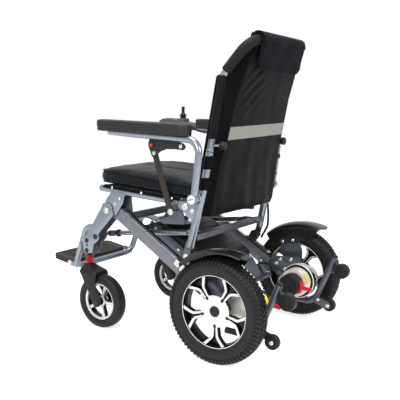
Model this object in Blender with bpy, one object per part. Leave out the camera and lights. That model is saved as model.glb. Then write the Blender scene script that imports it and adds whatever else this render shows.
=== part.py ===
"""Folding electric wheelchair, built from its separate pieces. Metres, +Z up, the chair faces -Y, +X is its left side.

The side view (y, z) is measured from a point on the floor below the drive axle. AXLE_Y moves the finished chair
so that its outline is centred on the origin. Left pieces are built at +X and mirrored for the right side.
"""

import math

import bmesh
import bpy
import numpy as np

# Place of the drive axle along Y in the finished chair
AXLE_Y = 0.285

# Pivots of the folding side frame, as (y, z)
FRONT_PIVOT = (-0.450, 0.407)
POST_PIVOT = (-0.144, 0.442)
SLIDER_PIN = (-0.140, 0.290)
ARMREST_PIN = (-0.095, 0.469)
STRUT_TOP = (-0.247, 0.600)
STRUT_FOOT = (-0.190, 0.423)
LINK_FRONT = (-0.500, 0.315)
LINK_REAR = (-0.155, 0.350)

# The sloping side beam: a point on its centre line and the angle to the floor
BEAM_POINT = (-0.400, 0.394)
BEAM_ANGLE = math.radians(-32.5)
BEAM_X = (0.202, 0.226)
BEAM_HALF_DEPTH = 0.020
BEAM_END = 0.376

# Drive wheels
WHEEL_X = 0.280
WHEEL_RADIUS = 0.157
WHEEL_HALF_WIDTH = 0.0285
RIM_RADIUS = 0.1068
MOTOR_AXIS = (0.047, 0.150)

# Casters
SWIVEL = (0.212, -0.549)
CASTER_HUB = (-0.4965, 0.092)
CASTER_RADIUS = 0.092
SPRING_TURNS = 5
SPRING_RADIUS = 0.0122
SPRING_WIRE = 0.0017
SPRING_Z = (0.2170, 0.2490)

# Seat
SEAT_TUBE_X = 0.218
SEAT_TUBE_RADIUS = 0.0110
SEAT_FRONT = (-0.483, 0.4780)
SEAT_SLOPE = -0.082
CUSHION_HALF_WIDTH = 0.205
CUSHION_Y = (-0.497, -0.116)

# Armrests
ARMREST_X = 0.256
ARMREST_RADIUS = 0.0110

# Back
BACK_TUBE_RADIUS = 0.0110
FOAM_RADIUS = 0.0155
BACK_LINE = [
    (0.2247, -0.1285, 0.318),
    (0.2135, -0.0905, 0.480),
    (0.1990, -0.0670, 0.638),
    (0.1850, -0.0350, 0.827),
    (0.1720, 0.0520, 0.933),
]

FINISHES = {
    "frame_grey": ((0.30, 0.33, 0.38), 0.75, 0.35),
    "frame_dark": ((0.12, 0.13, 0.17), 0.55, 0.40),
    "black_steel": ((0.02, 0.02, 0.022), 0.40, 0.45),
    "bright_steel": ((0.80, 0.80, 0.80), 1.00, 0.25),
    "black_plastic": ((0.018, 0.018, 0.019), 0.00, 0.45),
    "gloss_plastic": ((0.012, 0.012, 0.014), 0.00, 0.20),
    "armrest_foam": ((0.03, 0.03, 0.034), 0.00, 0.60),
    "rubber": ((0.02, 0.02, 0.02), 0.00, 0.75),
    "grey_rubber": ((0.045, 0.043, 0.045), 0.00, 0.65),
    "rim_alloy": ((0.75, 0.75, 0.75), 0.90, 0.30),
    "fabric": ((0.022, 0.023, 0.027), 0.00, 0.90),
    "pad_cloth": ((0.035, 0.042, 0.052), 0.00, 0.90),
    "spring_red": ((0.75, 0.05, 0.05), 0.20, 0.35),
    "lever_red": ((0.80, 0.03, 0.05), 0.00, 0.40),
    "button_orange": ((0.80, 0.12, 0.05), 0.00, 0.40),
    "battery_case": ((0.035, 0.028, 0.025), 0.00, 0.50),
}


# Helpers that build closed solids


def clear_scene():
    for obj in list(bpy.data.objects):
        bpy.data.objects.remove(obj, do_unlink=True)
    for mesh in list(bpy.data.meshes):
        bpy.data.meshes.remove(mesh)


def finish(name):
    material = bpy.data.materials.get(name)
    if material is None:
        colour, metallic, roughness = FINISHES[name]
        material = bpy.data.materials.new(name)
        material.use_nodes = True
        shader = material.node_tree.nodes["Principled BSDF"]
        shader.inputs["Base Color"].default_value = (*colour, 1.0)
        shader.inputs["Metallic"].default_value = metallic
        shader.inputs["Roughness"].default_value = roughness
        material.diffuse_color = (*colour, 1.0)
    return material


def skin(rings, closed=False):
    """(points, faces) of the solid through a row of rings; closed joins the last ring to the first."""
    rings = np.asarray(rings, float)
    count, size = rings.shape[:2]
    faces = []
    for i in range(count if closed else count - 1):
        a = i * size
        b = (i + 1) % count * size
        for j in range(size):
            k = (j + 1) % size
            faces.append((a + j, a + k, b + k, b + j))
    if not closed:
        faces.append(tuple(reversed(range(size))))
        faces.append(tuple(range((count - 1) * size, count * size)))
    return rings.reshape(-1, 3), faces


def rounded(points, radius, steps=4):
    """The polyline with each inner corner replaced by an arc of that radius."""
    points = [np.asarray(p, float) for p in points]
    path = [points[0]]
    for before, corner, after in zip(points, points[1:], points[2:]):
        a = (before - corner) / np.linalg.norm(before - corner)
        b = (after - corner) / np.linalg.norm(after - corner)
        half = math.acos(float(np.clip(a @ b, -1, 1))) / 2
        reach = radius / math.tan(half)
        middle = (a + b) / np.linalg.norm(a + b)
        centre = corner + middle * radius / math.sin(half)
        start = corner + a * reach - centre
        turn = math.pi - 2 * half
        side = b - a * float(a @ b)
        side /= np.linalg.norm(side)
        for i in range(steps + 1):
            t = turn * i / steps
            path.append(centre + start * math.cos(t) - a * radius * math.sin(t))
        path[-1] = corner + b * reach
    path.append(points[-1])
    return np.array(path)


def tube(path, radius, sides=10, closed=False):
    """A solid round bar along the path; radius is one number or one per point."""
    path = np.asarray(path, float)
    count = len(path)
    radius = np.broadcast_to(radius, count)
    ahead = np.gradient(path, axis=0) if not closed else np.roll(path, -1, 0) - np.roll(path, 1, 0)
    ahead /= np.linalg.norm(ahead, axis=1)[:, None]
    normal = np.cross(ahead[0], (0.0, 0.0, 1.0))
    if np.linalg.norm(normal) < 0.1:
        normal = np.cross(ahead[0], (1.0, 0.0, 0.0))
    angle = np.arange(sides) * 2 * math.pi / sides
    rings = []
    for i in range(count):
        normal = normal - ahead[i] * (normal @ ahead[i])
        normal /= np.linalg.norm(normal)
        across = np.cross(ahead[i], normal)
        circle = np.outer(np.cos(angle), normal) + np.outer(np.sin(angle), across)
        rings.append(path[i] + circle * radius[i])
    return skin(rings, closed)


def spin(profile, centre, axis="X", sides=24, bore=False):
    """A turned solid. profile is (along the axis, radius) pairs; bore joins the profile into a ring."""
    angle = (np.arange(sides) + 0.5) * 2 * math.pi / sides
    rings = []
    for along, radius in profile:
        a = np.full(sides, along)
        u, v = radius * np.cos(angle), radius * np.sin(angle)
        columns = {"X": (a, u, v), "Y": (v, a, u), "Z": (u, v, a)}[axis]
        rings.append(np.stack(columns, 1) + centre)
    return skin(rings, bore)


def rod_x(where, x0, x1, radius, sides=8):
    """A round bar along X through (y, z)."""
    return spin([(x0, radius), (x1, radius)], (0.0, where[0], where[1]), "X", sides)


def slab(outline, x0, x1):
    """The (y, z) outline pulled along X."""
    outline = np.asarray(outline, float)
    rings = [np.column_stack([np.full(len(outline), x), outline]) for x in (x0, x1)]
    return skin(rings)


def box(low, high):
    outline = [(low[1], low[2]), (high[1], low[2]), (high[1], high[2]), (low[1], high[2])]
    return slab(outline, low[0], high[0])


def arc(centre, radius, start, end, steps=6):
    """Points (y, z) on a circle, from start to end in degrees."""
    angles = np.radians(np.linspace(start, end, steps + 1))
    return [(centre[0] + radius * math.cos(t), centre[1] + radius * math.sin(t)) for t in angles]


def on_beam(s, n):
    """(y, z) of the point s along the beam's centre line and n square to it."""
    c, d = math.cos(BEAM_ANGLE), math.sin(BEAM_ANGLE)
    return BEAM_POINT[0] + s * c - n * d, BEAM_POINT[1] + s * d + n * c


def beam_slab(outline, x0, x1):
    return slab([on_beam(s, n) for s, n in outline], x0, x1)


def bar_outline(p, q, half, steps=4):
    """Outline (y, z) of a flat bar with round ends from p to q."""
    heading = math.degrees(math.atan2(q[1] - p[1], q[0] - p[0]))
    return arc(q, half, heading - 90, heading + 90, steps) + arc(p, half, heading + 90, heading + 270, steps)


def mesh_object(name, solid):
    mesh = bpy.data.meshes.new(name)
    mesh.from_pydata([tuple(p) for p in solid[0]], [], solid[1])
    shape = bmesh.new()
    shape.from_mesh(mesh)
    bmesh.ops.recalc_face_normals(shape, faces=shape.faces)
    shape.to_mesh(mesh)
    shape.free()
    obj = bpy.data.objects.new(name, mesh)
    bpy.context.scene.collection.objects.link(obj)
    return obj


def combined(name, solids, cuts=()):
    """One object: the solids joined, then the cuts taken out of them."""
    obj = mesh_object(name, solids[0])
    for operation, others in (("UNION", solids[1:]), ("DIFFERENCE", cuts)):
        for i, solid in enumerate(others):
            other = mesh_object(f"{name}_{operation.lower()}_{i}", solid)
            modifier = obj.modifiers.new(operation, "BOOLEAN")
            modifier.operation = operation
            modifier.solver = "EXACT"
            modifier.object = other
            bpy.context.view_layer.update()
            graph = bpy.context.evaluated_depsgraph_get()
            result = bpy.data.meshes.new_from_object(obj.evaluated_get(graph))
            obj.modifiers.clear()
            obj.data = result
            bpy.data.objects.remove(other, do_unlink=True)
    tidy = bmesh.new()
    tidy.from_mesh(obj.data)
    bmesh.ops.remove_doubles(tidy, verts=tidy.verts, dist=2e-5)
    bmesh.ops.dissolve_degenerate(tidy, edges=tidy.edges, dist=1e-5)
    tidy.to_mesh(obj.data)
    tidy.free()
    return obj


def place(obj, origin, material, sharp=35.0):
    """Moves the object's origin to origin without moving its shape, then shifts it to the finished frame."""
    shape = np.empty(len(obj.data.vertices) * 3)
    obj.data.vertices.foreach_get("co", shape)
    shape = shape.reshape(-1, 3) - np.asarray(origin, float)
    obj.data.vertices.foreach_set("co", shape.ravel())
    obj.location = (origin[0], origin[1] + AXLE_Y, origin[2])
    obj.data.materials.clear()
    obj.data.materials.append(finish(material))
    obj.data.shade_smooth()
    obj.data.set_sharp_from_angle(angle=math.radians(sharp))
    obj.data.update()
    return obj


def piece(name, material, origin, solids, cuts=()):
    return place(combined(name, solids, cuts), origin, material)


def mirrored(obj, name, origin, material):
    """A copy of a placed left piece, turned into the right one."""
    other = bpy.data.objects.new(name, obj.data.copy())
    bpy.context.scene.collection.objects.link(other)
    shape = bmesh.new()
    shape.from_mesh(other.data)
    for vertex in shape.verts:
        vertex.co.x = -vertex.co.x
    bmesh.ops.reverse_faces(shape, faces=shape.faces)
    shape.to_mesh(other.data)
    shape.free()
    other.location = (-origin[0], origin[1] + AXLE_Y, origin[2])
    other.data.shade_smooth()
    other.data.set_sharp_from_angle(angle=math.radians(35.0))
    return other


def pair(name, material, origin, solids, cuts=()):
    """The left piece at +X and its mirror image on the right."""
    left = piece(f"{name}_L", material, origin, solids, cuts)
    mirrored(left, f"{name}_R", origin, material)


def both_sides(solid):
    points = solid[0] * (-1.0, 1.0, 1.0)
    return [solid, (points, solid[1])]


def flange_screw(where, x0, x1, head0, head1, radius, head_radius):
    """A pin along X with a wider round head."""
    return [rod_x(where, x0, x1, radius), rod_x(where, head0, head1, head_radius, 10)]


# Seat and its frame


def seat_z(y):
    """Height of the seat tubes' centre line at y."""
    return SEAT_FRONT[1] + SEAT_SLOPE * (y - SEAT_FRONT[0])


def seat_frame():
    a, b, foot = FRONT_PIVOT, POST_PIVOT, STRUT_FOOT
    bottom = arc(a, 0.020, -40, -190, 4)
    outer_cheek = [(-0.430, 0.470), (-0.374, 0.4655), (-0.384, 0.434), (-0.414, 0.393)] + bottom + [(-0.452, 0.446)]
    inner_cheek = (
        [(-0.430, 0.470), (-0.374, 0.4655), (-0.368, 0.402), (-0.368, 0.375), (-0.402, 0.373), (-0.420, 0.387)]
        + bottom
        + [(-0.452, 0.446)]
    )
    saddle = [(-0.430, 0.4625), (-0.375, 0.4580), (-0.375, 0.4690), (-0.430, 0.4735)]
    lug = [(-0.205, 0.4590), (-0.198, 0.4430), (-0.160, 0.4290)] + arc(b, 0.0135, -110, 70, 4) + [(-0.172, 0.4580)]
    hanger = [
        (-0.228, 0.4600),
        (-0.170, 0.4550),
        (-0.172, 0.4150),
        (-0.165, 0.3990),
        (-0.165, 0.3800),
        (-0.250, 0.3760),
        (-0.250, 0.3940),
        (-0.222, 0.4020),
    ]
    rail = tube([(0.188, -0.262, 0.3850), (0.188, -0.135, 0.3910)], 0.0090, 10)
    one_side = [
        tube([(SEAT_TUBE_X, SEAT_FRONT[0], SEAT_FRONT[1]), (SEAT_TUBE_X, -0.172, seat_z(-0.172))], SEAT_TUBE_RADIUS),
        slab(saddle, 0.1985, 0.2292),
        slab(outer_cheek, 0.2265, 0.2305),
        slab(inner_cheek, 0.1975, 0.2015),
        slab(lug, 0.2172, 0.2235),
        rail,
        slab(hanger, 0.1948, 0.2005),
        slab([(-0.225, 0.4460), (-0.176, 0.4425), (-0.176, 0.4535), (-0.225, 0.4570)], 0.1952, 0.2130),
        rod_x(foot, 0.1960, 0.2360, 0.0065),
    ]
    one_side += flange_screw(foot, 0.2350, 0.2410, 0.2405, 0.2450, 0.0040, 0.0080)
    one_side += flange_screw(b, 0.2230, 0.2310, 0.2302, 0.2345, 0.0050, 0.0085)
    one_side += flange_screw(a, 0.1865, 0.2370, 0.2366, 0.2410, 0.0050, 0.0095)
    one_side += [rod_x(a, 0.1868, 0.1914, 0.0090, 6)]
    solids = []
    for solid in one_side:
        solids += both_sides(solid)
    solids += [box((-0.1995, -0.395, 0.3770), (0.1995, -0.373, 0.3990))]
    piece("seat_frame", "frame_grey", (0.0, 0.0, 0.0), solids)


def seat_sling():
    """Cloth stretched over both seat tubes: a shallow trough with a short flap down each tube's outer side."""
    half = [
        (0.2325, 0.0020),
        (0.2322, 0.0125),
        (0.2270, 0.0140),
        (0.2080, 0.0133),
        (0.1000, 0.0095),
        (0.0000, 0.0080),
    ]
    under = [
        (0.0000, 0.0058),
        (0.1000, 0.0073),
        (0.2050, 0.0112),
        (0.2180, 0.0115),
        (0.2297, 0.0108),
        (0.2300, 0.0020),
    ]
    ring = half + [(-x, z) for x, z in half[-2::-1]] + [(-x, z) for x, z in under[::-1]] + under[1:]
    rings = []
    for y in (-0.476, -0.40, -0.32, -0.24, -0.166):
        rings.append([(x, y, seat_z(y) + z) for x, z in ring])
    piece("seat_sling", "fabric", (0.0, -0.32, 0.47), [skin(rings)])


def rounded_rectangle(half_x, half_y, radius, per_corner=6):
    points = []
    for k, (sx, sy) in enumerate(((1, 1), (-1, 1), (-1, -1), (1, -1))):
        for i in range(per_corner):
            t = math.radians(90 * k + 90 * i / (per_corner - 1))
            points.append((sx * (half_x - radius) + radius * math.cos(t), sy * (half_y - radius) + radius * math.sin(t)))
    return np.array(points)


def divided(outline, longest):
    """The closed outline with extra points, so that no side is longer than longest."""
    points = []
    for p, q in zip(outline, np.roll(outline, -1, 0)):
        steps = max(1, math.ceil(np.linalg.norm(q - p) / longest))
        points += [p + (q - p) * i / steps for i in range(steps)]
    return np.array(points)


def seat_cushion():
    """Rings of a rounded rectangle: flat below, bulged side, welt, then a crowned top with two sewn channels."""
    middle_y = sum(CUSHION_Y) / 2
    half_y = (CUSHION_Y[1] - CUSHION_Y[0]) / 2
    base = divided(rounded_rectangle(CUSHION_HALF_WIDTH, half_y, 0.045), 0.045)
    unit = base / (CUSHION_HALF_WIDTH, half_y)
    layers = [
        (0.90, 0.0000, 0),
        (0.965, 0.0010, 0),
        (0.985, 0.0060, 0),
        (1.00, 0.4500, 1),
        (0.990, 0.9300, 1),
        (0.975, 1.0000, 1),
        (0.930, 1.0000, 2),
        (0.800, 1.0000, 2),
        (0.640, 1.0000, 2),
        (0.460, 1.0000, 2),
        (0.270, 1.0000, 2),
        (0.100, 1.0000, 2),
    ]
    rings = []
    for scale, height, kind in layers:
        ring = []
        for (bx, by), (ux, uy) in zip(base, unit):
            x, y = bx * scale, middle_y + by * scale
            low = seat_z(y) + 0.0142
            seam = 0.041 - 0.010 * (y - CUSHION_Y[0]) / (CUSHION_Y[1] - CUSHION_Y[0])
            if kind == 0:
                z = low + height
            elif kind == 1:
                z = low + seam * height
            else:
                u, v = abs(ux * scale), abs(uy * scale)
                crown = 0.022 * (1 - u**3.0) * (1 - v**3.0)
                groove = 0.0045 * (math.exp(-(((x - 0.068) / 0.012) ** 2)) + math.exp(-(((x + 0.068) / 0.012) ** 2)))
                z = low + seam + crown - groove * (1 - v**6)
            ring.append((x, y, z))
        rings.append(ring)
    piece("seat_cushion", "pad_cloth", (0.0, middle_y, 0.50), [skin(rings)])


# Side beams, battery tray and rear gear


def main_beam():
    half = BEAM_HALF_DEPTH
    nose = arc(FRONT_PIVOT, 0.0185, 70, 250, 5) + [on_beam(0.010, -0.0185), on_beam(0.010, 0.0185)]
    ribs = [(0.263, 0.0250), (0.359, 0.0250)]
    for i in range(16):
        s = 0.359 - i * 0.006
        ribs += [(s, 0.0322 if i % 2 else 0.0336), (s - 0.0052, 0.0322 if i % 2 else 0.0336)]
    solids = [
        beam_slab([(-0.010, -half), (BEAM_END, -half), (BEAM_END, half), (-0.010, half)], *BEAM_X),
        slab(nose, 0.2062, 0.2218),
        beam_slab([(0.252, 0.0190), (0.374, 0.0190), (0.374, 0.0262), (0.252, 0.0262)], 0.2050, 0.2230),
        beam_slab(ribs, 0.2072, 0.2208),
        tube([(0.214, *on_beam(0.269, 0.030)), (0.214, *on_beam(0.269, 0.0358))], 0.0036, 8),
        tube([(0.214, *on_beam(0.353, 0.030)), (0.214, *on_beam(0.353, 0.0358))], 0.0036, 8),
    ]
    cuts = [rod_x(FRONT_PIVOT, 0.2, 0.23, 0.0058)]
    pair("main_beam", "frame_grey", (0.214, *FRONT_PIVOT), solids, cuts)


def battery_pack():
    outline = [
        (0.100, -0.0250),
        (0.105, -0.0298),
        (0.318, -0.0298),
        (0.325, -0.0230),
        (0.325, 0.0210),
        (0.316, 0.0300),
        (0.112, 0.0300),
        (0.100, 0.0190),
    ]
    lid = [(0.120, 0.0290), (0.306, 0.0290), (0.302, 0.0345), (0.124, 0.0345)]
    solids = [beam_slab(outline, -0.1300, 0.1300), beam_slab(lid, -0.1180, 0.1180)]
    piece("battery_pack", "battery_case", (0.0, *on_beam(0.2, 0.0)), solids)


def rear_cross_frame():
    """Tray between the beams: two cross tubes, two side cheeks and a floor under the battery."""
    front, rear = on_beam(0.077, 0.0), (-0.078, 0.152)
    cheek = [
        (0.062, -0.012),
        (0.062, 0.012),
        (0.340, 0.012),
        (0.400, -0.014),
        (0.418, -0.031),
        (0.400, -0.044),
        (0.300, -0.0352),
        (0.105, -0.0352),
    ]
    end_plate = [(-0.122, 0.200), (-0.100, 0.214), (-0.071, 0.172), (-0.064, 0.150), (-0.078, 0.138), (-0.092, 0.150)]
    solids = [
        rod_x(front, -0.2016, 0.2016, 0.0080, 10),
        rod_x(rear, -0.2000, 0.2000, 0.0090, 10),
        beam_slab([(0.106, -0.0350), (0.300, -0.0350), (0.300, -0.0305), (0.106, -0.0305)], -0.1340, 0.1340),
    ]
    solids += both_sides(beam_slab(cheek, 0.1325, 0.1365))
    solids += both_sides(slab(end_plate, 0.1962, 0.2013))
    piece("rear_cross_frame", "frame_dark", (0.0, *rear), solids)


def motor():
    """Gearbox case beside the wheel, two bright housings, a round brake cap, and the plates that carry them."""
    y, z = MOTOR_AXIS
    case = arc(MOTOR_AXIS, 0.045, -100, 75, 7) + arc((0.0, WHEEL_RADIUS), 0.030, 90, 255, 5)
    body = [
        (0.2300, 0.0400),
        (0.2010, 0.0400),
        (0.1990, 0.0590),
        (0.1740, 0.0590),
        (0.1715, 0.0515),
        (0.1400, 0.0495),
        (0.1325, 0.0366),
        (0.1050, 0.0366),
        (0.1010, 0.0300),
    ]
    tongue = [on_beam(0.3765, -0.0175), (0.020, 0.124), (0.020, 0.180), on_beam(0.3765, 0.0175)]
    plate = [(-0.062, 0.188), (-0.060, 0.222), (0.040, 0.228), (0.050, 0.206), (0.050, 0.165), (-0.030, 0.165)]
    saddle = [(0.034, 0.0860), (0.058, 0.0845), (0.060, 0.118), (0.032, 0.118)]
    lead = rounded([(0.150, 0.016, 0.176), (0.150, -0.050, 0.204), (0.150, -0.096, 0.198), (0.150, -0.104, 0.178)], 0.018, 3)
    solids = [
        slab(case, 0.2284, 0.2455),
        spin(body, (0.0, y, z), "X", 24),
        rod_x((0.0, WHEEL_RADIUS), 0.2440, 0.2880, 0.0085, 16),
        slab(tongue, 0.2075, 0.2205),
        slab(plate, 0.1950, 0.2008),
        slab(saddle, 0.2045, 0.2195),
        tube(lead, 0.0032, 6),
        rod_x((-0.030, 0.213), 0.1915, 0.1960, 0.0050, 10),
        rod_x((0.010, 0.216), 0.1915, 0.1960, 0.0050, 10),
    ]
    pair("motor", "bright_steel", (0.170, y, z), solids)


def release_lever():
    """A curved grip that hugs the brake cap, with a flat handle to the rear."""
    outer = arc(MOTOR_AXIS, 0.0415, -36, 26, 8)
    inner = arc(MOTOR_AXIS, 0.0373, 26, -36, 8)
    c, s = math.cos(math.radians(-6)), math.sin(math.radians(-6))
    y, z = MOTOR_AXIS
    corners = [(0.0400, -0.0055), (0.0760, -0.0050), (0.0760, 0.0050), (0.0400, 0.0055)]
    handle = [(y + r * c - w * s, z + r * s + w * c) for r, w in corners]
    solids = [slab(outer + inner, 0.1080, 0.1200), slab(handle, 0.1120, 0.1172)]
    pair("release_lever", "lever_red", (0.1140, y, z), solids)


def fender():
    """The wheel guard: one curved wall, deep on the inner side, that flares to a point at the rear."""
    outer = [
        (0.2445, 0.1120),
        (0.2445, 0.1400),
        (0.2447, 0.1600),
        (0.2480, 0.1710),
        (0.2580, 0.1775),
        (0.2800, 0.1800),
        (0.3020, 0.1775),
        (0.3125, 0.1700),
        (0.3145, 0.1620),
    ]
    inner = [
        (0.3120, 0.1615),
        (0.3102, 0.1685),
        (0.3010, 0.1750),
        (0.2800, 0.1775),
        (0.2590, 0.1750),
        (0.2500, 0.1690),
        (0.2472, 0.1590),
        (0.2470, 0.1400),
        (0.2470, 0.1120),
    ]
    rings = []
    for i in range(13):
        t = i / 12
        angle = 138 - 78 * t
        flare = 0.014 * max(0.0, (t - 0.55) / 0.45) ** 1.6
        hem = 0.020 * (1 - math.sin(math.pi * min(1.0, t * 1.25))) if t < 0.8 else 0.020 + 0.16 * (t - 0.8)
        ring = []
        for x, r in outer + inner:
            deep = max(0.0, (0.160 - r) / 0.048)
            radius = r + flare * min(1.0, max(0.0, (r - 0.150) / 0.02)) + hem * min(1.0, deep)
            tip = 5.0 * t**6 * (1 - ((x - 0.280) / 0.036) ** 2)
            a = math.radians(angle - tip)
            ring.append((x, radius * math.cos(a), WHEEL_RADIUS + radius * math.sin(a)))
        rings.append(ring)
    bracket = [
        (-0.054, 0.214),
        (-0.020, 0.1995),
        (0.030, 0.2000),
        (0.030, 0.232),
        (0.018, 0.268),
        (-0.050, 0.262),
    ]
    solids = [skin(rings), slab(bracket, 0.2390, 0.2452)]
    solids += [rod_x((-0.046, 0.2600), 0.2374, 0.2400, 0.0045, 10), rod_x((-0.007, 0.2640), 0.2374, 0.2400, 0.0045, 10)]
    pair("fender", "gloss_plastic", (0.280, 0.0, WHEEL_RADIUS), solids)


def anti_tip_gear():
    """Rear arm with the lower wheel; the roller at its top is on the chair's right-hand face on both sides."""
    path = rounded([(0.212, -0.010, 0.078), (0.212, 0.090, 0.072), (0.212, 0.165, 0.241)], 0.045, 5)
    low, high = (0.146, 0.0715), (0.192, 0.196)
    low_plate = [(0.090, 0.079), (0.108, 0.098), (0.152, 0.082), (0.1575, 0.070), (0.150, 0.060), (0.138, 0.060)]
    high_plate = [(0.126, 0.176), (0.150, 0.222)] + arc(high, 0.0095, 60, -100, 5)
    for tag, side in (("L", 1), ("R", -1)):
        # The roller's carrier is 0.0135 m nearer the chair's right hand than the arm's centre on both sides.
        shift = -0.2005 + 0.2020 * side + (0.0010 if side > 0 else -0.0205)
        arm = tube(path * (side, 1, 1), 0.0095, 12)
        x0, x1 = (0.1985, 0.2045) if side > 0 else (-0.2255, -0.2195)
        carrier = slab(high_plate, x0, x1)
        pin = rod_x(high, x1 - 0.001, x1 + 0.0245, 0.0040)
        plate = slab(low_plate, 0.1985, 0.2045)
        low_pin = rod_x(low, 0.2035, 0.2260, 0.0040)
        plate = (plate[0] * (side, 1, 1), plate[1])
        low_pin = (low_pin[0] * (side, 1, 1), low_pin[1])
        cap = rod_x((0.1650, 0.2410), 0.2070 * side, 0.2170 * side, 0.0080)
        piece(f"anti_tip_arm_{tag}", "frame_dark", (0.212 * side, -0.010, 0.078), [arm, carrier, pin, plate, low_pin, cap])
        bore = [(x1 + 0.0010, 0.0048), (x1 + 0.0010, 0.0235), (x1 + 0.0030, 0.0265), (x1 + 0.0210, 0.0265)]
        bore += [(x1 + 0.0235, 0.0235), (x1 + 0.0235, 0.0048)]
        piece(f"transport_roller_{tag}", "grey_rubber", (shift, *high), [spin(bore, (0, *high), "X", 18, True)])
        small = [(0.2060, 0.0048), (0.2060, 0.0200), (0.2085, 0.0225), (0.2215, 0.0225), (0.2240, 0.0200), (0.2240, 0.0048)]
        wheel = spin(small, (0, *low), "X", 16, True)
        wheel = (wheel[0] * (side, 1, 1), wheel[1])
        piece(f"anti_tip_wheel_{tag}", "rubber", (0.215 * side, *low), [wheel])


def drive_wheel():
    tread = [
        (-0.0215, 0.1072),
        (-0.0285, 0.1230),
        (-0.0280, 0.1430),
        (-0.0190, 0.1548),
        (0.0000, 0.1570),
        (0.0190, 0.1548),
        (0.0280, 0.1430),
        (0.0285, 0.1230),
        (0.0215, 0.1072),
    ]
    centre = (WHEEL_X, 0.0, WHEEL_RADIUS)
    pair("drive_tyre", "rubber", centre, [spin(tread, centre, "X", 36, True)])
    barrel = [(-0.0212, RIM_RADIUS), (0.0212, RIM_RADIUS), (0.0205, 0.0955), (-0.0205, 0.0955)]
    hub = [(-0.0300, 0.0088), (-0.0300, 0.0300), (0.0090, 0.0350), (0.0160, 0.0240), (0.0160, 0.0088)]
    solids = [spin(barrel, centre, "X", 36, True), spin(hub, centre, "X", 18, True)]
    solids += [rod_x((0.0, WHEEL_RADIUS), WHEEL_X + 0.0100, WHEEL_X + 0.0185, 0.0150, 16)]
    for k in range(5):
        turn = 90 + 72 * k
        stem = [(0.020, -0.0130), (0.062, -0.0085), (0.062, 0.0085), (0.020, 0.0130)]
        upper = [(0.055, -0.0085), (0.098, 0.0165), (0.096, 0.0275), (0.053, 0.0085)]
        lower = [(0.053, -0.0085), (0.096, -0.0275), (0.098, -0.0165), (0.055, 0.0085)]
        for outline, x0, x1 in ((stem, -0.0040, 0.0120), (upper, -0.0030, 0.0110), (lower, -0.0025, 0.0105)):
            c, s = math.cos(math.radians(turn)), math.sin(math.radians(turn))
            turned = [(r * c - w * s, WHEEL_RADIUS + r * s + w * c) for r, w in outline]
            solids.append(slab(turned, WHEEL_X + x0, WHEEL_X + x1))
    pair("drive_rim", "rim_alloy", centre, solids)


# Front legs, casters and footrest


def front_leg():
    a = FRONT_PIVOT
    left = [(-0.018, 0.013), (-0.053, -0.0375), (-0.084, -0.085), (-0.1085, -0.099), (-0.110, -0.112), (-0.106, -0.127)]
    right = [(-0.067, -0.149), (-0.0605, -0.120), (-0.0440, -0.1080), (-0.0350, -0.0960), (-0.0385, -0.0810)]
    upper = [(0.014, -0.0290), (0.0300, -0.0120)]
    outline = [(y + a[0], z + a[1]) for y, z in left + [(-0.100, -0.152)] + right + upper]
    outline += arc(a, 0.0255, 0, 130, 6)
    block = [(-0.571, 0.2530), (-0.516, 0.2560), (-0.519, 0.300), (-0.550, 0.3000), (-0.571, 0.2900)]
    solids = [slab(outline, 0.2310, 0.2360), slab(outline, 0.1920, 0.1970), slab(block, 0.1962, 0.2318)]
    solids += flange_screw(LINK_FRONT, 0.1480, 0.1930, 0.2355, 0.2392, 0.0040, 0.0070)
    solids += [rod_x((-0.539, 0.298), 0.2355, 0.2388, 0.0060, 10), rod_x((-0.540, 0.264), 0.2355, 0.2388, 0.0060, 10)]
    cuts = [
        rod_x(a, 0.18, 0.25, 0.0058),
        spin([(0.24, 0.0068), (0.287, 0.0068)], (*SWIVEL, 0.0), "Z", 14),
    ]
    pair("front_leg", "frame_grey", (0.214, *a), solids, cuts)


def caster_fork():
    x, y = SWIVEL
    hub = CASTER_HUB
    arm = [(-0.575, 0.2000), (-0.583, 0.1760), (-0.560, 0.1500), (-0.530, 0.1180)]
    arm += arc(hub, 0.0145, 190, 360, 6) + [(-0.482, 0.120), (-0.494, 0.160), (-0.512, 0.190), (-0.528, 0.2080)]
    crown = [(-0.576, 0.1905), (-0.524, 0.1905), (-0.528, 0.2085), (-0.535, 0.2125), (-0.565, 0.2125), (-0.574, 0.2060)]
    solids = [
        slab(crown, x - 0.0325, x + 0.0325),
        slab(arm, x + 0.0265, x + 0.0325),
        slab(arm, x - 0.0325, x - 0.0265),
        spin([(0.2080, 0.0165), (0.2164, 0.0150)], (x, y, 0), "Z", 16),
        spin([(0.2100, 0.0060), (0.2760, 0.0060)], (x, y, 0), "Z", 12),
        rod_x(hub, x - 0.0330, x + 0.0330, 0.0040),
        rod_x(hub, x + 0.0320, x + 0.0355, 0.0065, 8),
        rod_x(hub, x - 0.0355, x - 0.0320, 0.0065, 8),
    ]
    pair("caster_fork", "black_plastic", (x, y, 0.2125), solids)


def caster_spring():
    """One helix of round wire; each end runs on level for one wire diameter."""
    x, y = SWIVEL
    per_turn = 8
    low, high = SPRING_Z[0] + SPRING_WIRE, SPRING_Z[1] - SPRING_WIRE
    count = SPRING_TURNS * per_turn
    points = []
    for i in range(count + 1):
        t = 2 * math.pi * i / per_turn
        points.append((x + SPRING_RADIUS * math.cos(t), y + SPRING_RADIUS * math.sin(t), low + (high - low) * i / count))
    rise = (high - low) / SPRING_TURNS
    print(f"spring: {rise * 1000 - 2000 * SPRING_WIRE:.2f} mm between its turns")
    first, last = np.array(points[0]), np.array(points[-1])
    points = [first - (0.0, 2 * SPRING_WIRE, 0.0)] + points + [last + (0.0, 2 * SPRING_WIRE, 0.0)]
    pair("caster_spring", "spring_red", (x, y, SPRING_Z[1]), [tube(points, SPRING_WIRE, 6)])


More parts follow.
